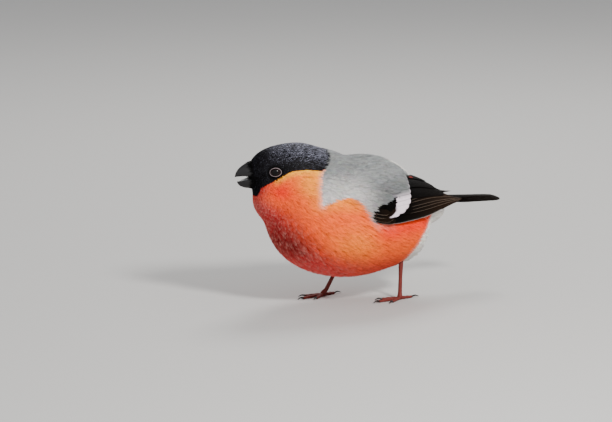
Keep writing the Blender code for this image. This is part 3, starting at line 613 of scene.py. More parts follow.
def add_grain(tree, shader, grain, depth):
    """Break a shader's colour by a fine grain."""
    soft = tree.nodes.new("ShaderNodeGroup")
    soft.node_tree = SPECKLE
    soft.inputs["Scale"].default_value = grain
    soft.inputs["Depth"].default_value = depth
    tree.links.new(soft.outputs["Colour"], shader.inputs["Base Color"])
    return soft


def add_relief(tree, shader, height, strength, distance):
    """Raise a shader's surface by a height."""
    relief = tree.nodes.new("ShaderNodeBump")
    relief.inputs["Strength"].default_value = strength
    relief.inputs["Distance"].default_value = distance
    tree.links.new(height, relief.inputs["Height"])
    tree.links.new(relief.outputs["Normal"], shader.inputs["Normal"])


def plumage_finish(name, roughness, grain, depth, gloss):
    """Soft plumage that takes its colour from the feathers' own colours."""
    finish, tree, shader = new_material(name, roughness, gloss)
    soft = add_grain(tree, shader, grain, depth)
    tree.links.new(own_colours(tree), soft.inputs["Colour"])
    return finish


def flight_finish():
    """Smooth flight feathers with a low gloss and fine barbs."""
    finish = plumage_finish("flight feathers", 0.55, 900.0, 0.35, 0.025)
    tree = finish.node_tree
    barbs = tree.nodes.new("ShaderNodeGroup")
    barbs.node_tree = BARBS
    barbs.inputs["Barbs"].default_value = 420.0
    add_relief(tree, tree.nodes["Principled BSDF"], barbs.outputs["Height"], 0.35, 0.00008)
    return finish


def horn_finish(name, colour, roughness, grain, strength, gloss):
    """Horn or scaly skin: a colour broken by grain, with a fine bump."""
    finish, tree, shader = new_material(name, roughness, gloss)
    soft = add_grain(tree, shader, grain, 0.8)
    soft.inputs["Colour"].default_value = (*colour, 1.0)
    add_relief(tree, shader, soft.outputs["Height"], strength, 0.0002)
    return finish


def eye_finish():
    """Wet, dark eye, coloured by its own pupil and iris."""
    finish, tree, shader = new_material("eye", 0.04, 0.16)
    tree.links.new(own_colours(tree), shader.inputs["Base Color"])
    return finish


# Small feathers, in the order of the zones of the plumage
FINISHES = {
    "cap": plumage_finish("cap plumage", 0.55, 1500.0, 0.5, 0.05),
    "back": plumage_finish("back plumage", 0.85, 1800.0, 0.25, 0.10),
    "breast": plumage_finish("breast plumage", 0.85, 1400.0, 0.25, 0.08),
    "rump": plumage_finish("rump plumage", 0.85, 1400.0, 0.15, 0.10),
}
FLIGHT = flight_finish()
BILL = horn_finish("bill horn", (0.008, 0.0075, 0.008), 0.30, 700.0, 0.25, 0.30)
CLAW = horn_finish("claw horn", (0.010, 0.007, 0.006), 0.32, 700.0, 0.20, 0.25)
LEG = horn_finish("leg scales", (0.115, 0.019, 0.015), 0.55, 1400.0, 0.45, 0.12)
LID = horn_finish("eyelid skin", (0.25, 0.20, 0.21), 0.60, 2500.0, 0.30, 0.10)
EYE = eye_finish()


# Skin: one closed surface under the coat


def coat_depth(points):
    """How far the skin lies under the tips of the feathers."""
    face = np.linalg.norm(points - (HEAD_CENTRE + AHEAD * 17.0), axis=1)
    return 0.35 + 1.35 * smooth(6.0, 42.0, face)


def reach_surface(ways):
    """How far the body's surface lies from its middle each way, found by halving."""
    near = np.zeros(len(ways))
    for reach in np.arange(REACH_STEP, BODY_REACH, REACH_STEP):
        inside = body_distance(BODY_MIDDLE + ways * reach) < 0
        near = np.where(inside & (near == reach - REACH_STEP), reach, near)
    far = near + REACH_STEP
    for _ in range(12):
        middle = (near + far) / 2
        outside = body_distance(BODY_MIDDLE + ways * middle[:, None]) > 0
        far = np.where(outside, middle, far)
        near = np.where(outside, near, middle)
    return far


def spread_evenly(points, edges):
    """Even out a net of points on the body's surface."""
    count = len(points)
    first, second = edges.reshape(-1, 2).T
    neighbours = np.bincount(first, minlength=count) + np.bincount(second, minlength=count)
    for _ in range(60):
        total = np.zeros((count, 3))
        for axis in range(3):
            total[:, axis] = np.bincount(first, points[second, axis], count)
            total[:, axis] += np.bincount(second, points[first, axis], count)
        points = points + 0.7 * (total / neighbours[:, None] - points)
        points = settle(body_distance, points, np.zeros(count), 1)
    return points


def read_mesh(items, key, width, kind):
    """Numbers of a mesh's points, edges or faces, in rows."""
    numbers = np.empty(len(items) * width, dtype=kind)
    items.foreach_get(key, numbers)
    return numbers.reshape(-1, width)


def set_colours(mesh, colours):
    """Give each point of a mesh its colour."""
    shade = np.concatenate([colours, np.ones(colours.shape[:-1] + (1,))], axis=-1)
    layer = mesh.color_attributes.new("Colour", "FLOAT_COLOR", "POINT")
    layer.data.foreach_set("color", shade.ravel())


def make_skin():
    """Grow a ball onto the body's surface, spread evenly, just under the coat."""
    edit = bmesh.new()
    bmesh.ops.create_icosphere(edit, subdivisions=6, radius=1.0)
    mesh = to_mesh(edit, "skin")
    ways = unit(read_mesh(mesh.vertices, "co", 3, float))
    points = BODY_MIDDLE + ways * reach_surface(ways)[:, None]
    points = spread_evenly(points, read_mesh(mesh.edges, "vertices", 2, int))
    points = settle(body_distance, points, -coat_depth(points))
    mesh.vertices.foreach_set("co", to_model(points).ravel())
    _, colour, _ = plumage(points, gradient(body_distance, points))
    # Painted shade: the skin takes the plumage's colours at 60%, as the shaded depths between the
    # feathers
    set_colours(mesh, colour * 0.60)
    mesh.update()
    piece_from(mesh, FINISHES["breast"], "breast", ("head", "neck", "torso", "rump"))
    return points, ways, read_mesh(mesh.polygons, "vertices", 3, int)


# Coat

# Places tried for roots on the body and on each wing, the feathers' spacing and width as
# shares of the full coat's, and the loose barbs on each
ROOT_TRIES, WING_TRIES, ROOM, BREADTH, STRANDS = 90000, 12000, 1.0, 1.0, 13
COAT_PIECE = 190000  # triangles in one piece of the coat at most
PATCH = 0.003  # side of one feather's patch on the unwrap

EYE_CLEAR = 2.6  # where the feathers turn aside most, from the eye's middle
EYE_OPENING = (2.80, 2.05)  # half length and half height inside the feathers round the eye
BILL_BASE = HEAD_CENTRE + AHEAD * 15.0 - UP
BILL_OPENING = (4.3, 4.6)  # half width and half height that the feathers leave free there

# A small feather as shares of its length and width: points along its quill, then the tip
# and the notch behind each barb, the same on both sides
QUILL = np.array([0.0, 0.28, 0.48, 0.66, 0.82, 1.0])
BARB_TIPS = ((0.60, 0.44), (0.78, 0.42), (0.90, 0.32), (0.97, 0.14))
NOTCHES = ((0.50, 0.30), (0.68, 0.28), (0.82, 0.20), (0.93, 0.07))

# Its points: 6 along the quill, 4 on its underside, and 8 on each side. Then come its loose
# barbs, of 5 points each: root, left, top, right and tip
VANE_POINTS = 26
TUFT_POINTS = VANE_POINTS + 5 * STRANDS
STRAND_FACES = np.array([(0, 2, 1), (0, 3, 2), (0, 1, 3), (4, 1, 2), (4, 2, 3), (4, 3, 1)])


def find_eyes():
    """Middle of each eye, the way it faces, and its long and its high axis."""
    middles, facings, axes = {}, {}, {}
    for word in ("left", "right"):
        low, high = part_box("eye_" + word)
        middles[word] = (np.array(low) + np.array(high)) / 2 / MM - FRAME_SHIFT
        facings[word] = gradient(body_distance, middles[word][None])[0]
        level = AHEAD - facings[word] * (AHEAD @ facings[word])
        level = level / np.linalg.norm(level)
        axes[word] = (level, np.cross(facings[word], level))
    return middles, facings, axes


EYES, EYE_FACINGS, EYE_AXES = find_eyes()


def lie(points, facing):
    """The way the feathers lie: back from the bill, and aside around the eyes."""
    way = unit(points - BILL_BASE, 1e-6)
    for word, centre in EYES.items():
        offset = points - centre
        offset = offset - (offset @ EYE_FACINGS[word])[:, None] * EYE_FACINGS[word]
        distance = np.linalg.norm(offset, axis=1)
        near = (points - HEAD_CENTRE) @ LEFT * (1 if word == "left" else -1) > 0
        push = 1.4 * bump(distance, EYE_CLEAR, 1.6) * near
        way = way + offset / np.maximum(distance, 0.3)[:, None] * push[:, None]
    way = way - (way * facing).sum(1)[:, None] * facing
    return unit(way, 1e-6)


def feather_sizes(points):
    """Spacing, length and width of the small feathers at places on the body."""
    face = np.linalg.norm(points - (HEAD_CENTRE + AHEAD * 16.0), axis=1)
    grown = smooth(4.0, 50.0, face)
    return 0.45 + 0.55 * grown, 1.5 + 6.3 * grown, 0.75 + 1.65 * grown


def thin_out(points, spacing):
    """Keep the places that aren't too close to one kept before."""
    cell = spacing.max()
    places = points.tolist()
    kept, grid = [], {}
    for index, (point, reach) in enumerate(zip(places, spacing.tolist())):
        home = tuple(int(value // cell) for value in point)
        around = itertools.product(*((value - 1, value, value + 1) for value in home))
        others = (places[other] for key in around for other in grid.get(key, ()))
        if all(sum((a - b) ** 2 for a, b in zip(point, other)) >= reach**2 for other in others):
            grid.setdefault(home, []).append(index)
            kept.append(index)
    return np.array(kept)


def scatter(points, faces, chance):
    """Random places on the skin, closer together where the feathers are small."""
    corners = points[faces]
    normals = np.cross(corners[:, 1] - corners[:, 0], corners[:, 2] - corners[:, 0])
    spacing, _, _ = feather_sizes(corners.mean(1))
    weight = np.linalg.norm(normals, axis=1) / 2 / spacing**2
    picks = chance.choice(len(faces), size=ROOT_TRIES, p=weight / weight.sum())
    share = np.sqrt(chance.random(ROOT_TRIES))
    second = chance.random(ROOT_TRIES)
    weights = np.stack([1 - share, share * (1 - second), share * second], axis=1)
    return (corners[picks] * weights[:, :, None]).sum(1)


def body_roots(points, faces, chance):
    """Roots on the skin, none in the eyes, in the bill or deep under the wings.

    Over is 1 for those whose feathers lie over the wing, and 0 where they go under it."""
    roots = scatter(points, faces, chance)
    free = np.ones(len(roots), dtype=bool)
    over = np.zeros(len(roots))
    for side in (1, -1):
        along, across, height, past = wing_frame(roots, side)
        here = roots[:, 0] * side > 0
        deep = (past <= 0) & (height < 0) & (across > 0.16) & (across < 0.92) & (along < 0.58)
        free &= ~(here & deep)
        over[here & ((along < 0.20) | ((across > 0.5) & (along < 0.56)))] = 1.0
    for word, centre in EYES.items():
        offset = roots - centre
        long_way, high_way = EYE_AXES[word]
        spread = np.hypot(offset @ long_way / EYE_OPENING[0], offset @ high_way / EYE_OPENING[1])
        free &= (spread > 1.0) | (offset @ EYE_FACINGS[word] < 0)
    forward, aside, up = head_places(roots)
    spread = np.hypot(aside / BILL_OPENING[0], (up + 1.2) / BILL_OPENING[1])
    free &= ~((forward > 14.5) & (spread < 1.0))
    return roots[free], over[free]


def wing_roots(side, chance):
    """Random places on the wing, under the small grey coverts."""
    along = chance.random(WING_TRIES) * 0.60
    across = 0.01 + 0.97 * chance.random(WING_TRIES)
    keep = along < read_edge(WING_GREY_END, across) - 0.02
    along, across = along[keep], across[keep]
    return wing_point(side, along, across, cover_rise(along, across))


def past_wing_end(tips):
    """Whether feathers reach past the end of the grey on the wing."""
    late = np.zeros(len(tips), dtype=bool)
    for side in (1, -1):
        along, across, height, past = wing_frame(tips, side)
        here = (tips[:, 0] * side > 0) & (past < 1.0) & (height > -2.0)
        late |= here & (along > read_edge(WING_GREY_END, across))
    return late


def vane_faces():
    """Triangles of one small feather without its loose barbs."""
    faces = []
    for side in range(2):
        border = [0, *range(10 + side * 8, 18 + side * 8), 5]
        for top in (True, False):
            quill = [0, 1, 2, 3, 4, 5] if top else [0, 6, 7, 8, 9, 5]
            for barb in range(4):
                middle, ahead = quill[barb + 1:barb + 3]
                before, tip, notch = border[2 * barb:2 * barb + 3]
                made = [(middle, before, tip), (middle, tip, notch), (middle, notch, ahead)]
                flip = (side == 0) == top
                faces += [face[::-1] if flip else face for face in made]
    return np.array(faces)


TUFT_FACES = np.concatenate(
    [vane_faces()] + [STRAND_FACES + VANE_POINTS + 5 * index for index in range(STRANDS)])

# For each point of a tuft, the stop on the quill whose facing it takes, and for each point of
# the vane how far it lies from the root
BARB_STOPS = [1, 1, 2, 2, 3, 3, 4, 4]
FACING_STOPS = [0, 1, 2, 3, 4, 5] + [1, 2, 3, 4] + BARB_STOPS * 2 + [3] * 5 * STRANDS
BARB_SHARES = [item[0] for pair in zip(BARB_TIPS, NOTCHES) for item in pair]
VANE_SHARES = np.concatenate([QUILL, QUILL[1:5], BARB_SHARES, BARB_SHARES])


def sway(points):
    """Slow turns in the lie of the plumage, in radians, so that it falls in soft locks."""
    x, y, z = points.T
    wave = np.sin(0.55 * y + 0.8 * np.sin(0.31 * z) + 1.3) * np.sin(0.47 * z + 0.23 * x)
    return 0.13 * wave + 0.07 * np.sin(1.15 * y - 0.9 * z + 0.4 * x)


def grow(roots, over, length, levels, chance):
    """Lay feathers along the body from their roots, and give each quill's stops.

    Each stop has its place, the way its surface faces, and the way the feather runs."""
    depth, lift = levels

    def distance(places):
        return coat_distance(places, over)

    points = settle(distance, roots, -depth - 0.25)
    quill, ups, ways = [], [], []
    turn = chance.normal(0.0, 0.05, len(roots)) + sway(roots)
    for index, share in enumerate(QUILL):
        if index:
            points = points + ways[-1] * ((share - QUILL[index - 1]) * length)[:, None]
            points = settle(distance, points, -depth + (depth + lift) * share**0.8, 1)
        facing = gradient(distance, points)
        way = lie(points, facing)
        aside = np.cross(facing, way)
        quill.append(points)
        ups.append(facing)
        ways.append(way * np.cos(turn)[:, None] + aside * np.sin(turn)[:, None])
    return np.stack(quill, axis=1), np.stack(ups, axis=1), np.stack(ways, axis=1)


def vane_points(quill, ups, ways, length, width, chance):
    """The points of each feather's vane from its quill."""
    count = len(quill)
    asides = np.cross(ups, ways)
    thickness = (0.03 + 0.03 * width)[:, None, None]
    out = np.zeros((count, VANE_POINTS, 3))
    out[:, 0:6] = quill
    out[:, 1:5] += ups[:, 1:5] * thickness
    out[:, 6:10] = quill[:, 1:5] - ups[:, 1:5] * thickness
    for side, sign in ((0, 1.0), (1, -1.0)):
        for barb in range(4):
            for kind, (share, reach) in enumerate((BARB_TIPS[barb], NOTCHES[barb])):
                base = barb + 1
                noise = chance.normal(0.0, 0.05 if kind == 0 else 0.02, count)
                ahead = ((share + noise - QUILL[base]) * length)[:, None]
                aside = (sign * width * reach * (1 + chance.normal(0.0, 0.14, count)))[:, None]
                spot = quill[:, base] + ways[:, base] * ahead + asides[:, base] * aside
                spot -= ups[:, base] * (aside**2 / 36.0)
                out[:, 10 + side * 8 + barb * 2 + kind] = spot
    return out


def read_quill(quill, share):
    """Places at a share of the length along each quill, or past its tip."""
    index = np.clip(np.searchsorted(QUILL, share) - 1, 0, len(QUILL) - 2)
    rows = np.arange(len(quill))
    t = ((share - QUILL[index]) / (QUILL[index + 1] - QUILL[index]))[:, None]
    return quill[rows, index] + (quill[rows, index + 1] - quill[rows, index]) * t


def strand_points(quill, ups, ways, width, chance):
    """Points of each feather's loose barbs, and their shares of the feather's length."""
    count = len(quill)
    rows = np.arange(count)
    asides = np.cross(ups, ways)
    points, shares = [], []
    for index in range(STRANDS):
        start = chance.uniform(0.05, 0.40, count)
        spread = (index + 0.5) / STRANDS - 0.5 + chance.normal(0.0, 0.06, count)
        reach = chance.uniform(0.55, 0.80, count) * (1 - 0.9 * spread**2)
        aside = 0.90 * spread * width
        fan = aside * 0.12 + chance.normal(0.0, 0.05, count) * width
        near = np.clip(np.searchsorted(QUILL, start + reach / 2) - 1, 0, 5)
        up, side = ups[rows, near], asides[rows, near]
        lift = chance.uniform(0.03, 0.08, count) * np.sqrt(width)
        half = chance.uniform(0.065, 0.11, count) * np.minimum(1.0, 0.35 + width / 3)
        root = read_quill(quill, start) + side * aside[:, None] - up * 0.05
        middle = read_quill(quill, start + 0.4 * reach) + side * (aside + 0.3 * fan)[:, None]
        middle = middle + up * lift[:, None]
        tip = read_quill(quill, start + reach) + side * (aside + fan)[:, None]
        stray = 5.0 * (chance.random(count) < 0.03)
        tip = tip + up * (lift * (chance.uniform(0.3, 1.3, count) + stray))[:, None]
        wide, high = side * half[:, None], up * half[:, None] * 0.7
        points += [root, middle + wide, middle + high, middle - wide, tip]
        shares += [start + stop * reach for stop in (0.0, 0.4, 0.4, 0.4, 1.0)]
    return np.stack(points, axis=1), np.stack(shares, axis=1)


def strand_rows(index):
    """Where a loose barb's points stand among the points of its tuft."""
    start = VANE_POINTS + 5 * index
    return slice(start, start + 5)


def coat_mesh(name, points, facings, colours, maps, word):
    """Join feathers into one mesh with their colours and the map of their roots."""
    count = len(points)
    mesh = bpy.data.meshes.new(name)
    corners = (TUFT_FACES[None] + np.arange(count)[:, None, None] * TUFT_POINTS).reshape(-1, 3)
    mesh.vertices.add(count * TUFT_POINTS)
    mesh.vertices.foreach_set("co", to_model(points).ravel())
    mesh.loops.add(corners.size)
    mesh.loops.foreach_set("vertex_index", corners.ravel())
    mesh.polygons.add(len(corners))
    mesh.polygons.foreach_set("loop_start", np.arange(0, corners.size, 3))
    set_colours(mesh, colours)
    unwrap = mesh.uv_layers.new(name="OFBake")
    unwrap.data.foreach_set("uv", maps.reshape(-1, 2)[corners.ravel()].ravel())
    mesh.update()
    mesh.validate()
    piece_from(mesh, FINISHES[word], word)
    # Barbs shade as the plumage they lie in does
    mesh.normals_split_custom_set_from_vertices(facings.reshape(-1, 3))


def sphere_map(ways):
    """Unwrap of the skin: the ball it grew from, laid out with equal areas."""
    u = np.arctan2(ways[:, 1], ways[:, 0]) / (2 * math.pi) + 0.5
    v = (np.clip(ways[:, 2], -1, 1) + 1) / 2
    return np.stack([u, v], axis=1)


def root_maps(roots, skin):
    """Each feather's patch, at its root's place on the skin's unwrap."""
    points, ways, faces = skin
    tree = BVHTree.FromPolygons([Vector(point) for point in points], faces.tolist())
    spots = np.zeros((len(roots), 3))
    for index, root in enumerate(roots):
        place, _, face, _ = tree.find_nearest(Vector(root))
        corner = points[faces[face]]
        gaps = 1.0 / (np.linalg.norm(corner - np.array(place), axis=1) + 1e-3)
        spots[index] = (ways[faces[face]] * (gaps / gaps.sum())[:, None]).sum(0)
    middles = np.clip(sphere_map(unit(spots)), PATCH, 1 - PATCH)
    across = np.zeros(TUFT_POINTS)
    across[10:18] = 0.5
    across[18:26] = -0.5
    shares = np.concatenate([VANE_SHARES] + [[0.1, 0.5, 0.55, 0.5, 0.9]] * STRANDS)
    for index in range(STRANDS):
        strand = np.array([0, 0.06, 0, -0.06, 0])
        across[strand_rows(index)] = strand + (index + 0.5) / STRANDS - 0.5
    local = np.stack([across, shares - 0.5], axis=1) * PATCH
    return middles[:, None, :] + local[None]


def painted_cap_shine(points, facing):
    """How much painted glint the cap's feather tips get: most on the crown and the nape, least by the
    face.
    """
    forward, _, up = head_places(points)
    above = up - read_edge(CAP_EDGE, forward)
    crown = smooth(0.30, 0.90, facing[:, 2]) * (0.55 + 0.45 * smooth(9.0, -2.0, forward))
    nape = 0.45 * smooth(-6.0, -13.0, forward)
    return np.maximum(crown, nape) * smooth(0.5, 6.0, above) * smooth(15.0, 8.0, forward) + 0.06


def tuft_colours(colour, zone, deep, fringe, shine, shares, chance):
    """Colour every point of every tuft: darker roots, partly the feathers' own grey bases and partly
    painted shade between the tufts, paler tips, painted glints on the cap, and a shade of its own.
    """
    count = len(colour)
    tint = chance.normal(1.0, 0.09, (count, 1, 1)) * (1 + chance.normal(0.0, 0.025, (count, 1, 3)))
    each = np.zeros((count, TUFT_POINTS))
    bright = np.zeros((count, TUFT_POINTS))
    for index in range(STRANDS):
        each[:, strand_rows(index)] = chance.uniform(-0.42, 0.36, (count, 1))
        bright[:, strand_rows(index)] = chance.random((count, 1)) ** 1.5
    each = 1 + each * np.array([1.0, 0.7, 1.0, 0.45])[zone]
    frosted = chance.random((count, 1)) ** 1.6
    # Darker towards the root: partly the feathers' own grey bases, partly painted shade between the
    # tufts
    shade = 0.70 + 0.30 * smooth(0.05, 0.60, shares)
    colours = colour * tint * (each * shade)[:, :, None]
    tip = smooth(0.62, 0.95, shares)
    pale = deep**1.6 * (0.08 + 1.35 * frosted * (0.25 + 0.75 * bright))
    pale = pale + 0.12 * bright + fringe * (0.4 + 0.9 * bright)
    pale = np.minimum(pale * tip * (zone == 2), 1.0)
    colours = colours + pale[:, :, None] * (COLOURS["pink"] - colours)
    # Painted highlight: pale bluish glints painted on the tips of the cap's barbs, strongest on the
    # crown and the nape
    glint = shine * tip * (0.08 + 7.5 * bright**4 * (0.35 + 0.65 * frosted))
    glint = np.minimum(glint, 1.0) * (zone == 0)
    colours = colours + glint[:, :, None] * (COLOURS["cap painted glint"] - colours)
    return np.clip(colours, 0.0, 1.0)


def paint_tufts(points, hold, facings, shares, chance):
    """Colours of the tufts, where each barb takes that of its middle, so that borders stay clean.

    Hold is how far back a whole tuft looks for its colour."""
    grid = points.shape[:2]
    strands = points[:, VANE_POINTS:]
    spots = points.copy()
    spots[:, VANE_POINTS:] = np.repeat(strands[:, 2::5] * 0.5 + strands[:, 4::5] * 0.5, 5, axis=1)
    spots = (spots + hold[:, None]).reshape(-1, 3)
    facings = facings.reshape(-1, 3)
    zone, colour, deep = plumage(spots, facings)
    fringe = bump(read_edge(FLANK_EDGE, spots[:, 1]) - spots[:, 2], 0.0, 2.4)
    fringe = fringe * smooth(-27, -21, spots[:, 1]) * smooth(0, -8, spots[:, 1])
    shine = painted_cap_shine(spots, facings)
    zone, deep, fringe, shine = (rows.reshape(grid) for rows in (zone, deep, fringe, shine))
    return tuft_colours(colour.reshape(*grid, 3), zone, deep, fringe, shine, shares, chance)


def plant(skin, chance):
    """Roots of all small feathers, and which of them lie over the wing."""
    body, over = body_roots(skin[0], skin[2], chance)
    roots = np.concatenate([body, wing_roots(1, chance), wing_roots(-1, chance)])
    over = np.concatenate([over, np.ones(len(roots) - len(body))])
    spacing, _, _ = feather_sizes(roots)
    kept = thin_out(roots, spacing * ROOM)
    return roots[kept], over[kept]


def make_coat(skin):
    """Cover the body and the shoulders of the wings with small frayed feathers."""
    chance = np.random.default_rng(7)
    roots, over = plant(skin, chance)
    count = len(roots)
    _, length, width = feather_sizes(roots)
    y, z = roots[:, 1], roots[:, 2]
    under_edge = read_edge(FLANK_EDGE, y + 5) - z
    long = bump(under_edge, 2.0, 4.0) * smooth(-36, -28, y) * smooth(-6, -14, y)
    fluffy = smooth(-6.0, -1.0, vent_place(roots)) * smooth(40, 36, z) * smooth(24, 16, y)
    length = length * (1 + 0.75 * long + 0.25 * fluffy) * chance.uniform(0.82, 1.18, count)
    width = width * BREADTH * (1 - 0.35 * long - 0.2 * fluffy) * chance.uniform(0.85, 1.15, count)
    depth = coat_depth(roots)
    lift = 0.02 + 0.05 * chance.random(count) * depth + 0.25 * long
    lift = lift + 1.5 * fluffy * chance.random(count) ** 1.5
    quill, ups, ways = grow(roots, over, length, (depth, lift), chance)
    turned_over = (ups[:, :1] * ups).sum(2).min(1) < 0.35
    kept = ~(past_wing_end(quill[:, -1]) & (over > 0)) & ~turned_over
    roots, length, width, long = roots[kept], length[kept], width[kept], long[kept]
    quill, ups, ways = quill[kept], ups[kept], ways[kept]
    hold = (quill[:, 4] - quill[:, -1]) * long[:, None]  # long ones keep their colour past a border
    zone, _, _ = plumage(quill[:, -1] + hold, ups[:, -1])
    vanes = vane_points(quill, ups, ways, length, width, chance)
    strands, shares = strand_points(quill, ups, ways, width, chance)
    points = np.concatenate([vanes, strands], axis=1)
    shares = np.concatenate([np.tile(VANE_SHARES, (len(roots), 1)), shares], axis=1)
    facings = ups[:, FACING_STOPS]
    colours = paint_tufts(points, hold, facings, shares, chance)
    maps = root_maps(roots, skin)
    for index, word in enumerate(FINISHES):
        chosen = np.flatnonzero(zone == index)
        chosen = chosen[np.argsort(roots[chosen, 1])]
        parts = max(1, math.ceil(len(chosen) * len(TUFT_FACES) / COAT_PIECE))
        for number, part in enumerate(np.array_split(chosen, parts)):
            name = "coat_%s_%d" % (word, number + 1)
            coat_mesh(name, points[part], facings[part], colours[part], maps[part], word)


# Wings


def vane_share(v, full, tip, rounding):
    """A flight feather's width at each place along it, as a share of its full width.

    It is full from one place on, and rounds off from a place near its tip."""
    share = 0.5 + 0.5 * smooth(0.0, full, v)
    share = share * np.sqrt(np.clip(1 - (np.maximum(v - tip, 0) / rounding) ** 2, 0, 1))
    return share * smooth(-0.03, 0.02, v)


def vane_place(side, start, end, width, rise, tilt, lead, paint):
    """A flight feather bent to the wing: u runs round its blade, v from root to tip."""
    thickness = 0.3

    def place(u, v):
        v = 1 - (1 - v) ** 1.4
        step = 0.5 - 0.5 * np.cos(2 * math.pi * u)
        share = vane_share(v, 0.35, 0.80, 0.20)
        along = start[0] + (end[0] - start[0]) * v
        across = start[1] + (end[1] - start[1]) * v
        _, chord, _, _ = wing_lines(along)
        middle = width * (0.5 * share + lead * (1 - share))
        offset = middle + width * share * (step - 0.5)
        body = thickness / 2 * np.abs(np.sin(2 * math.pi * u)) * (1 - 0.5 * v)
        body = body * np.minimum(share * 4, 1)
        camber = 0.18 * np.sin(math.pi * step) * share
        height = rise[0] + (rise[1] - rise[0]) * v - tilt * offset / width + camber - thickness / 2
        height = height + np.where(u < 0.5, body, -body)
        across = across + offset / np.linalg.norm(chord, axis=1)
        return wing_point(side, along, np.clip(across, -0.1, 1.1), height), paint(step, v)
    return place


def flight_paint(edge, brown, edge_width=0.075, edge_reach=(0.30, 0.97), edge_colour="pale edge"):
    """Black, browner towards the tip, with a narrow pale outer edge."""
    def paint(step, v):
        colour = mix(COLOURS["flight"][None], COLOURS["brown flight"][None], brown * smooth(0.2, 1.0, v))
        line = edge * smooth(edge_width, edge_width / 2, step)
        line = line * smooth(edge_reach[0], edge_reach[0] + 0.1, v)
        line = line * smooth(edge_reach[1] + 0.03, edge_reach[1], v)
        return mix(colour, COLOURS[edge_colour][None], line)
    return paint


def covert_paint(start, across, width):
    """A greater covert: black root and a pale tip, which is grey on those higher up, with painted shade
    on the grey and along one edge.
    """
    def paint(step, v):
        here = across + step * width / 28
        pale_from = (read_edge(BAR_START, here) - start) / COVERT_LENGTH
        share = np.where(pale_from < 0.15, 1.0, smooth(pale_from - 0.04, pale_from + 0.03, v))
        grey = smooth(0.28, 0.42, here) * smooth(1.0, 0.93, v) ** 0.5
        # Painted shade: the grey is taken down to 60% to match the shade among the small feathers beside
        # it
        pale = mix(rows_of(COLOURS["wing bar"], len(v)), COLOURS["grey"] * 0.60, grey)
        # Painted shade: darker along one edge, a shadow line between neighbouring coverts
        pale = pale * (1 - 0.22 * smooth(0.12, 0.03, step))[:, None]
        return mix(rows_of(COLOURS["brown flight"] * 0.6, len(v)), pale, share)
    return paint


def red_tertial(step, v):
    """The innermost tertial has a red mark on its outer web."""
    share = smooth(0.46, 0.51, v) * smooth(0.62, 0.57, v)
    share = share * smooth(0.05, 0.10, step) * smooth(0.30, 0.22, step)
    return mix(rows_of(COLOURS["flight"], len(v)), COLOURS["tertial red"][None], share)


def build_wing(word, side):
    """All large feathers of a wing as one piece."""
    edit = new_edit()
    flight = (FLIGHT_RISE - 0.4, FLIGHT_RISE)

    def add(paint, start, end, width, rise, tilt, lead=0.5, rows=22):
        place = vane_place(side, start, end, width, rise, tilt, lead, paint)
        add_bent_grid(edit, 16, rows, place)

    for index, (start, end, width) in enumerate(PRIMARIES):
        paint = flight_paint(0.75, 1.0, 0.038)
        if index == 0:
            paint = flight_paint(0.8, 1.0, 0.040, (0.02, 0.75), "white")
        add(paint, start, end, width, flight, 1.4, lead=0.15, rows=30)
    for start, end, width in SECONDARIES:
        add(flight_paint(0.3, 0.3, 0.038), start, end, width, flight, 1.5, lead=0.15, rows=30)
    for index, (start, end, width) in enumerate(TERTIALS):
        paint = red_tertial if index == 2 else flight_paint(0.0, 0.1)
        add(paint, start, end, width, (FLIGHT_RISE - 0.2, FLIGHT_RISE + 0.15), 0.9, lead=0.15)
    for index, tip in enumerate(PRIMARY_COVERT_TIPS):
        across = 0.002 + 0.022 * index
        paint = flight_paint(1.2, 0.45, 0.042, (0.1, 0.92))
        add(paint, (0.19, across), (tip, across + 0.006), 2.3, (0.6, FLIGHT_RISE + 0.3), 0.7)
    for across, width in COVERTS:
        tip = read_edge(COVERT_TIPS, across + 0.010 * width)
        start = tip - COVERT_LENGTH
        paint = covert_paint(start, across, width)
        add(paint, (start, across), (tip, across + 0.006), width, (0.3, COVERT_RISE), 0.75)
    close_piece(edit, "wing_feathers_" + word, FLIGHT, "flight")


def build_wing_flesh(word, side):
    """The arm and hand that the wing's feathers grow from."""
    def place(u, v):
        along = 0.02 + 0.90 * v
        top = u < 0.5
        across = np.where(top, u * 2, 2 - u * 2)
        lens = np.sqrt(np.clip(1 - (2 * across - 1) ** 2, 0, 1))
        lens = lens * np.sqrt(np.clip(np.sin(math.pi * v), 0, 1))
        across = 0.05 + (0.90 - 0.62 * smooth(0.70, 0.90, along)) * across
        upper = np.minimum(cover_rise(along, across) - 1.5, 0.1)
        height = np.where(top, upper, -1.2 * lens - 0.3) * lens
        return wing_point(side, along, across, height), rows_of(COLOURS["flight"], len(u))

    bent_piece("wing_flesh_" + word, 40, 40, place, FLIGHT, "flight", ("wing_" + word,))


# Tail


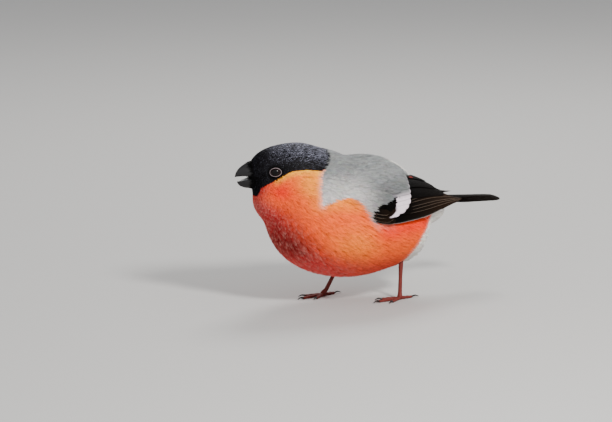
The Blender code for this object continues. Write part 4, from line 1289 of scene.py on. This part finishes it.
def tail_place(side, pair):
    """One tail feather: u runs round its blade, v from root to tip; pair 0 is the middle pair."""
    out = pair / 5
    lower = 0.06 * (side < 0)
    top, tip = 0.95 - 0.30 * pair - lower, 0.62 - 0.17 * pair - lower
    short = 2.2 * (1 - out) ** 2 + 0.5 * max(5 * out - 4, 0.0)
    reach = 1.0 - short / np.linalg.norm(TAIL_TIP - TAIL_ROOT)

    def place(u, v):
        v = 1 - (1 - v) ** 1.5
        step = 0.5 - 0.5 * np.cos(2 * math.pi * u)
        share = vane_share(v, 0.5, 0.86, 0.14)
        along = 0.06 + (reach - 0.06) * v
        half = (TAIL_WIDTHS[0] + (TAIL_WIDTHS[1] - TAIL_WIDTHS[0]) * along) / 2
        edge = (0.46 + 0.49 * out + 0.05 * out * v) * half
        offset = TAIL_VANE * (0.42 + (step - 0.42) * share)
        aside = edge - offset
        body = 0.14 * np.abs(np.sin(2 * math.pi * u)) * np.minimum(share * 4, 1)
        arch = TAIL_ARCH + 1.7 * (1 - along) ** 1.3
        rise = top + 0.5 * (1 - along) + (tip - top) * v
        rise = rise - 0.15 * offset / TAIL_VANE - arch * (aside / half) ** 2
        rise = rise - 0.28 + np.where(u < 0.5, body, -body) + 0.10 * np.sin(math.pi * step) * share
        middle = TAIL_ROOT + (TAIL_TIP - TAIL_ROOT) * along[:, None]
        points = middle + np.stack([side * aside, aside * 0, rise], axis=1)
        black = rows_of(COLOURS["flight"], len(u))
        return points, mix(black, COLOURS["brown flight"][None], 0.3 * v)
    return place


def build_tail():
    """Twelve tail feathers folded one over the other, with the middle pair on top."""
    edit = new_edit()
    for side in (1, -1):
        for pair in range(6):
            add_bent_grid(edit, 12, 30, tail_place(side, pair))
    close_piece(edit, "tail_feathers", FLIGHT, "flight", ("tail",))


# Head

EYE_RADIUS = 3.08
IRIS_INSIDE, IRIS_OUTSIDE = 1.35, 2.2
IRIS_COLOUR = (0.0057, 0.0020, 0.0016, 1.0)
PUPIL_COLOUR = (0.0012, 0.0008, 0.0008, 1.0)
LID_RADIUS = 3.22
LID_SIZES = (2.74, 1.95)  # half length and half height of the ring of the lids
BILL_ROOT, BILL_TIP, BILL_RISE, BILL_HALF_WIDTH = 17.0, 28.4, -1.0, 4.4
# Halves of the bill: height, lift in degrees, share of the full size, droop of the tip, and
# whether it bulges up (1) or down (-1)
BILL_HALVES = {
    "bill_upper": (6.8, 5.0, 1.0, 1.3, 1),
    "bill_lower": (5.1, -12.0, 0.93, 0.0, -1),
}
BRISTLES = 900
BRISTLE_HEIGHTS = (6.8, 5.4)  # of the bill above and below its middle, where they lie on it


def build_eyeball(word):
    """Dark eye with its brown iris."""
    edit = bmesh.new()
    bmesh.ops.create_uvsphere(edit, u_segments=48, v_segments=32, radius=EYE_RADIUS * MM)
    colours = edit.loops.layers.float_color.new("Colour")
    for vert in edit.verts:
        reach = math.hypot(vert.co.x, vert.co.y) / MM
        iris = IRIS_INSIDE < reach < IRIS_OUTSIDE and vert.co.z > 0
        for loop in vert.link_loops:
            loop[colours] = IRIS_COLOUR if iris else PUPIL_COLOUR
    aim = Vector(EYE_FACINGS[word]).to_track_quat("Z", "Y").to_matrix().to_4x4()
    spot = Matrix.Translation(Vector(to_model(EYES[word]))) @ aim
    bmesh.ops.transform(edit, matrix=spot, verts=edit.verts)
    piece_from(to_mesh(edit, "eyeball_" + word), EYE, "eye", ("eye_" + word,))


def build_lids(word):
    """The pale ring of the lids round an eye."""
    axes = np.stack([*EYE_AXES[word], EYE_FACINGS[word]])

    def place(u, v):
        around, tube = u * 2 * math.pi, v * 2 * math.pi
        reach = np.stack([LID_SIZES[0] * np.cos(around), LID_SIZES[1] * np.sin(around)], axis=1)
        radius = np.linalg.norm(reach, axis=1)
        height = np.sqrt(LID_RADIUS**2 - radius**2)
        lean = 0.105 * np.cos(tube)
        spots = reach + unit(reach) * lean[:, None]
        rise = height + 0.14 * np.sin(tube) - 0.55 * lean * radius / height
        local = np.stack([spots[:, 0], spots[:, 1], rise], axis=1)
        return EYES[word] + local @ axes, rows_of((0.3, 0.3, 0.3), len(u))

    bent_piece("eyelid_" + word, 48, 12, place, LID, "eye")


def bill_place(height, lift, share, droop, side):
    """Half of the bill: u runs over its arch and back along its cutting edge, v to its tip."""
    tilt = math.radians(lift)
    axis = AHEAD * math.cos(tilt) + UP * math.sin(tilt)
    above = np.cross(LEFT, axis)
    above = above if above[2] > 0 else -above
    root = HEAD_CENTRE + AHEAD * BILL_ROOT + UP * BILL_RISE
    reach = (BILL_TIP - BILL_ROOT) * share

    def place(u, v):
        along = v * 1.15 - 0.15
        body = np.clip(along, 0, 1)
        wide = BILL_HALF_WIDTH * share * (1 - body**1.7)
        tall = height * np.sqrt(1 - body**2.2)
        turn = np.clip(u / 0.7, 0, 1) * math.pi
        flat = np.clip((u - 0.7) / 0.3, 0, 1)
        aside = np.where(u < 0.7, np.cos(turn) * np.abs(np.cos(turn)) ** 0.15, -1 + 2 * flat)
        rise = np.where(u < 0.7, np.sin(turn) ** 0.85, 0.10 * np.sin(math.pi * flat))
        middle = root + axis * (reach * along)[:, None] - above * (droop * body**3)[:, None]
        middle = middle + above * side * 0.15
        points = middle + LEFT * (wide * aside)[:, None] + above * side * (tall * rise)[:, None]
        return points, rows_of((0.02, 0.02, 0.02), len(u))
    return place


def build_bill():
    """The two halves of the short, deep bill, a little apart."""
    for name, sizes in BILL_HALVES.items():
        bent_piece("horn_" + name, 40, 36, bill_place(*sizes), BILL, "bill", (name,))


def beside_bill(turn, forward, gap):
    """Places round the bill: a turn round it, a place along it, and a gap over its surface."""
    body = np.clip((forward - BILL_ROOT) / (BILL_TIP - BILL_ROOT), 0, 1)
    wide = BILL_HALF_WIDTH * (1 - body**1.7) + gap
    tall = np.where(np.sin(turn) > 0, *BRISTLE_HEIGHTS) * np.sqrt(1 - body**2.2) + gap
    place = HEAD_CENTRE + AHEAD * forward[:, None] + LEFT * (wide * np.cos(turn))[:, None]
    return place + UP * (tall * np.sin(turn) + BILL_RISE)[:, None]


def build_bristles():
    """Short black bristles that lie forward over the base of the bill."""
    chance = np.random.default_rng(3)
    turn = chance.uniform(0, 2 * math.pi, BRISTLES)
    start = chance.uniform(17.2, 19.6, BRISTLES)
    reach = chance.uniform(1.6, 3.4, BRISTLES) * (1 + 0.35 * smooth(0.2, 0.8, np.sin(turn)))
    end_turn = turn + chance.normal(0, 0.10, BRISTLES)
    root = beside_bill(turn, start, chance.uniform(-0.3, 0.2, BRISTLES))
    middle = beside_bill(turn, start + 0.45 * reach, chance.uniform(0.2, 0.8, BRISTLES))
    tip = beside_bill(end_turn, start + reach, chance.uniform(0.1, 0.7, BRISTLES))
    out = LEFT * np.cos(end_turn)[:, None] + UP * np.sin(end_turn)[:, None]
    aside = unit(np.cross(out, tip - root)) * 0.11
    points = np.stack([root, middle + aside, middle + out * 0.09, middle - aside, tip], axis=1)
    edit = bmesh.new()
    verts = [edit.verts.new(point) for point in to_model(points.reshape(-1, 3))]
    colours = edit.loops.layers.float_color.new("Colour")
    for first in range(0, len(verts), 5):
        for face in STRAND_FACES:
            made = edit.faces.new([verts[first + corner] for corner in face])
            for loop in made.loops:
                loop[colours] = (*COLOURS["cap"], 1.0)
    bmesh.ops.recalc_face_normals(edit, faces=edit.faces)
    piece_from(to_mesh(edit, "bill_bristles"), FINISHES["cap"], "cap")


# Legs


def tube_place(path, radii, ring=None):
    """A tube along a path: u runs round it, v along it."""
    path, radii = np.array(path, dtype=float), np.array(radii, dtype=float)
    stops = np.concatenate([[0], np.cumsum(np.linalg.norm(np.diff(path, axis=0), axis=1))])
    stops = stops / stops[-1]

    def read(v):
        return np.stack([np.interp(v, stops, path[:, axis]) for axis in range(3)], axis=1)

    def place(u, v):
        way = unit(read(np.minimum(v + 0.03, 1)) - read(np.maximum(v - 0.03, 0)))
        upright = abs(way[len(way) // 2, 2]) > 0.7
        side = unit(np.cross(way, [0.0, 1.0, 0.0] if upright else [0.0, 0.0, 1.0]))
        front = np.cross(side, way)
        radius = np.interp(v, stops, radii)
        if ring is not None:
            radius = radius * ring(u, v)
        turn = u * 2 * math.pi
        points = read(v) + side * (radius * np.cos(turn))[:, None]
        points = points + front * (radius * np.sin(turn))[:, None]
        points[:, 2] = np.maximum(points[:, 2], 0.0)
        return points, rows_of((0.1, 0.04, 0.03), len(u))
    return place


def scutes(count):
    """Overlapping plates along a leg or toe."""
    def ring(u, v):
        front = np.clip(np.sin(u * 2 * math.pi) + 0.6, 0, 1)
        return 1.0 + 0.09 * (0.5 - np.mod(v * count, 1.0)) * front
    return ring


def toe_path(sole, way, length):
    """Path and radii of a toe with its pads, which ends in a blunt tip."""
    path, radii = [], []
    for stop in np.linspace(-0.08, 1.0, 14):
        slender = 1 - 0.22 * max(stop, 0.0)
        arch = 0.25 * math.sin(math.pi * max(stop, 0.0))
        height = 0.85 * slender - 0.12 + arch * 0.3
        path.append(sole + way * length * stop + np.array([0, 0, height]))
        radii.append(0.85 * slender * (1 + 0.10 * math.cos(6 * math.pi * stop)))
    path.append(path[-1] + way * 0.45)
    radii.append(0.05)
    return path, radii


def claw_path(base, way, length):
    """Path and radii of a claw that curves down from the end of a toe."""
    path, radii = [base - way * 0.5], [0.42]
    for stop in np.linspace(0.0, 1.0, 9):
        forward = math.sin(stop * 1.15) / math.sin(1.15) * length
        height = 0.55 * math.sin(math.pi * min(stop * 1.25, 1.0)) - 0.25 * stop
        path.append(base + way * forward + np.array([0, 0, height]))
        radii.append(0.50 * (1 - stop) ** 0.8 + 0.02)
    return path, radii


def build_leg(word):
    """A shank with its plates, four toes with theirs, and four curved claws."""
    foot, top, yaw = LEGS[word]
    sole = np.array([foot[0], foot[1], 0.0])
    reach = np.array(top) - sole
    ankle = sole + reach * (ANKLE_HEIGHT / reach[2])
    path = [sole + UP * 0.5, sole + UP * 1.3, ankle, sole + reach * 0.5, top]
    shank = tube_place(path, [1.05, 1.3, 0.98, 0.9, 1.2], scutes(16))
    edit, claws = new_edit(), new_edit()
    add_bent_grid(edit, 20, 96, shank)
    for turn, length, claw in TOES:
        angle = math.radians(yaw + turn)
        way = np.array([math.sin(angle), -math.cos(angle), 0.0])
        path, radii = toe_path(sole, way, length)
        add_bent_grid(edit, 16, 72, tube_place(path, radii, scutes(12)))
        add_bent_grid(claws, 12, 24, tube_place(*claw_path(path[-2], way, claw)))
    close_piece(edit, "scaled_leg_" + word, LEG, "leg", ("leg_" + word, "foot_" + word))
    close_piece(claws, "claws_" + word, CLAW, "leg")


# Floor, light and camera

PHOTO_WIDTH, PHOTO_HEIGHT = 612, 422
PHOTO_SCALE = 2.1  # pixels a millimetre at the bird
PHOTO_ORIGIN = (361.5, 298.0)  # where the floor under BIRD_ORIGIN shows
BIRD_ORIGIN = np.array([0.0, -6.1, 0.0])
BIRD_TARGET = np.array([0.0, -6.0, 42.0])
CAMERA_DISTANCE = 2000.0
SENSOR_WIDTH = 36.0
VIEW_RIGHT = Vector((0.530, 0.848, 0.0))
VIEW_BACK = Vector((0.835, -0.522, 0.173))

FLOOR_COLOUR = (0.38, 0.375, 0.365, 1.0)
SKY_COLOUR = (0.86, 0.87, 0.90, 1.0)
SKY_STRENGTH = 0.80
# Soft lamps: name, place, power, size and colour
LAMPS = (
    ("key", (0.85, -0.02, 0.66), 18.0, 0.20, (1.0, 0.98, 0.95)),
    ("fill", (0.60, -0.80, 0.35), 3.0, 1.60, (0.98, 0.98, 1.0)),
    ("rim", (-0.45, 0.40, 0.75), 7.0, 0.40, (1.0, 0.98, 0.95)),
)


def build_floor():
    """A plain pale floor."""
    edit = bmesh.new()
    bmesh.ops.create_grid(edit, x_segments=1, y_segments=1, size=3.0)
    mesh = to_mesh(edit, "floor")
    finish, _, shader = new_material("pale floor", 0.85)
    shader.inputs["Base Color"].default_value = FLOOR_COLOUR
    mesh.materials.append(finish)
    add_to_scene("floor", mesh)


def build_light():
    """An even sky and three soft lamps aimed at the bird."""
    world = bpy.data.worlds.new("studio")
    world.use_nodes = True
    sky = world.node_tree.nodes["Background"]
    sky.inputs["Color"].default_value = SKY_COLOUR
    sky.inputs["Strength"].default_value = SKY_STRENGTH
    bpy.context.scene.world = world
    for name, place, power, size, colour in LAMPS:
        lamp = bpy.data.lights.new(name, "AREA")
        lamp.shape = "DISK"
        lamp.energy = power
        lamp.size = size
        lamp.color = colour
        light = add_to_scene(name, lamp)
        light.location = place
        aim = Vector((0, 0, 0.04)) - Vector(place)
        light.rotation_euler = aim.to_track_quat("-Z", "Y").to_euler()


def build_camera():
    """The photo's view: from the bird's left, a little in front and a little above."""
    back = VIEW_BACK.normalized()
    up = back.cross(VIEW_RIGHT.normalized()).normalized()
    right = up.cross(back).normalized()
    middle = BIRD_ORIGIN + np.array(right) * (PHOTO_WIDTH / 2 - PHOTO_ORIGIN[0]) / PHOTO_SCALE
    middle = middle + np.array(up) * (PHOTO_ORIGIN[1] - PHOTO_HEIGHT / 2) / PHOTO_SCALE
    middle = middle + np.array(back) * ((BIRD_TARGET - middle) @ np.array(back))
    place = to_model(middle + np.array(back) * CAMERA_DISTANCE)
    lens = bpy.data.cameras.new("camera")
    lens.sensor_width = SENSOR_WIDTH
    lens.lens = SENSOR_WIDTH * CAMERA_DISTANCE / (PHOTO_WIDTH / PHOTO_SCALE)
    lens.clip_end = 20.0
    camera = add_to_scene("camera", lens)
    turn = Matrix((right, up, back)).transposed().to_4x4()
    camera.matrix_world = Matrix.Translation(Vector(place)) @ turn
    bpy.context.scene.camera = camera


build_floor()
build_light()
build_camera()
make_coat(make_skin())
for side_word, sign in (("left", 1), ("right", -1)):
    build_wing(side_word, sign)
    build_wing_flesh(side_word, sign)
    build_eyeball(side_word)
    build_lids(side_word)
    build_leg(side_word)
build_tail()
build_bill()
build_bristles()
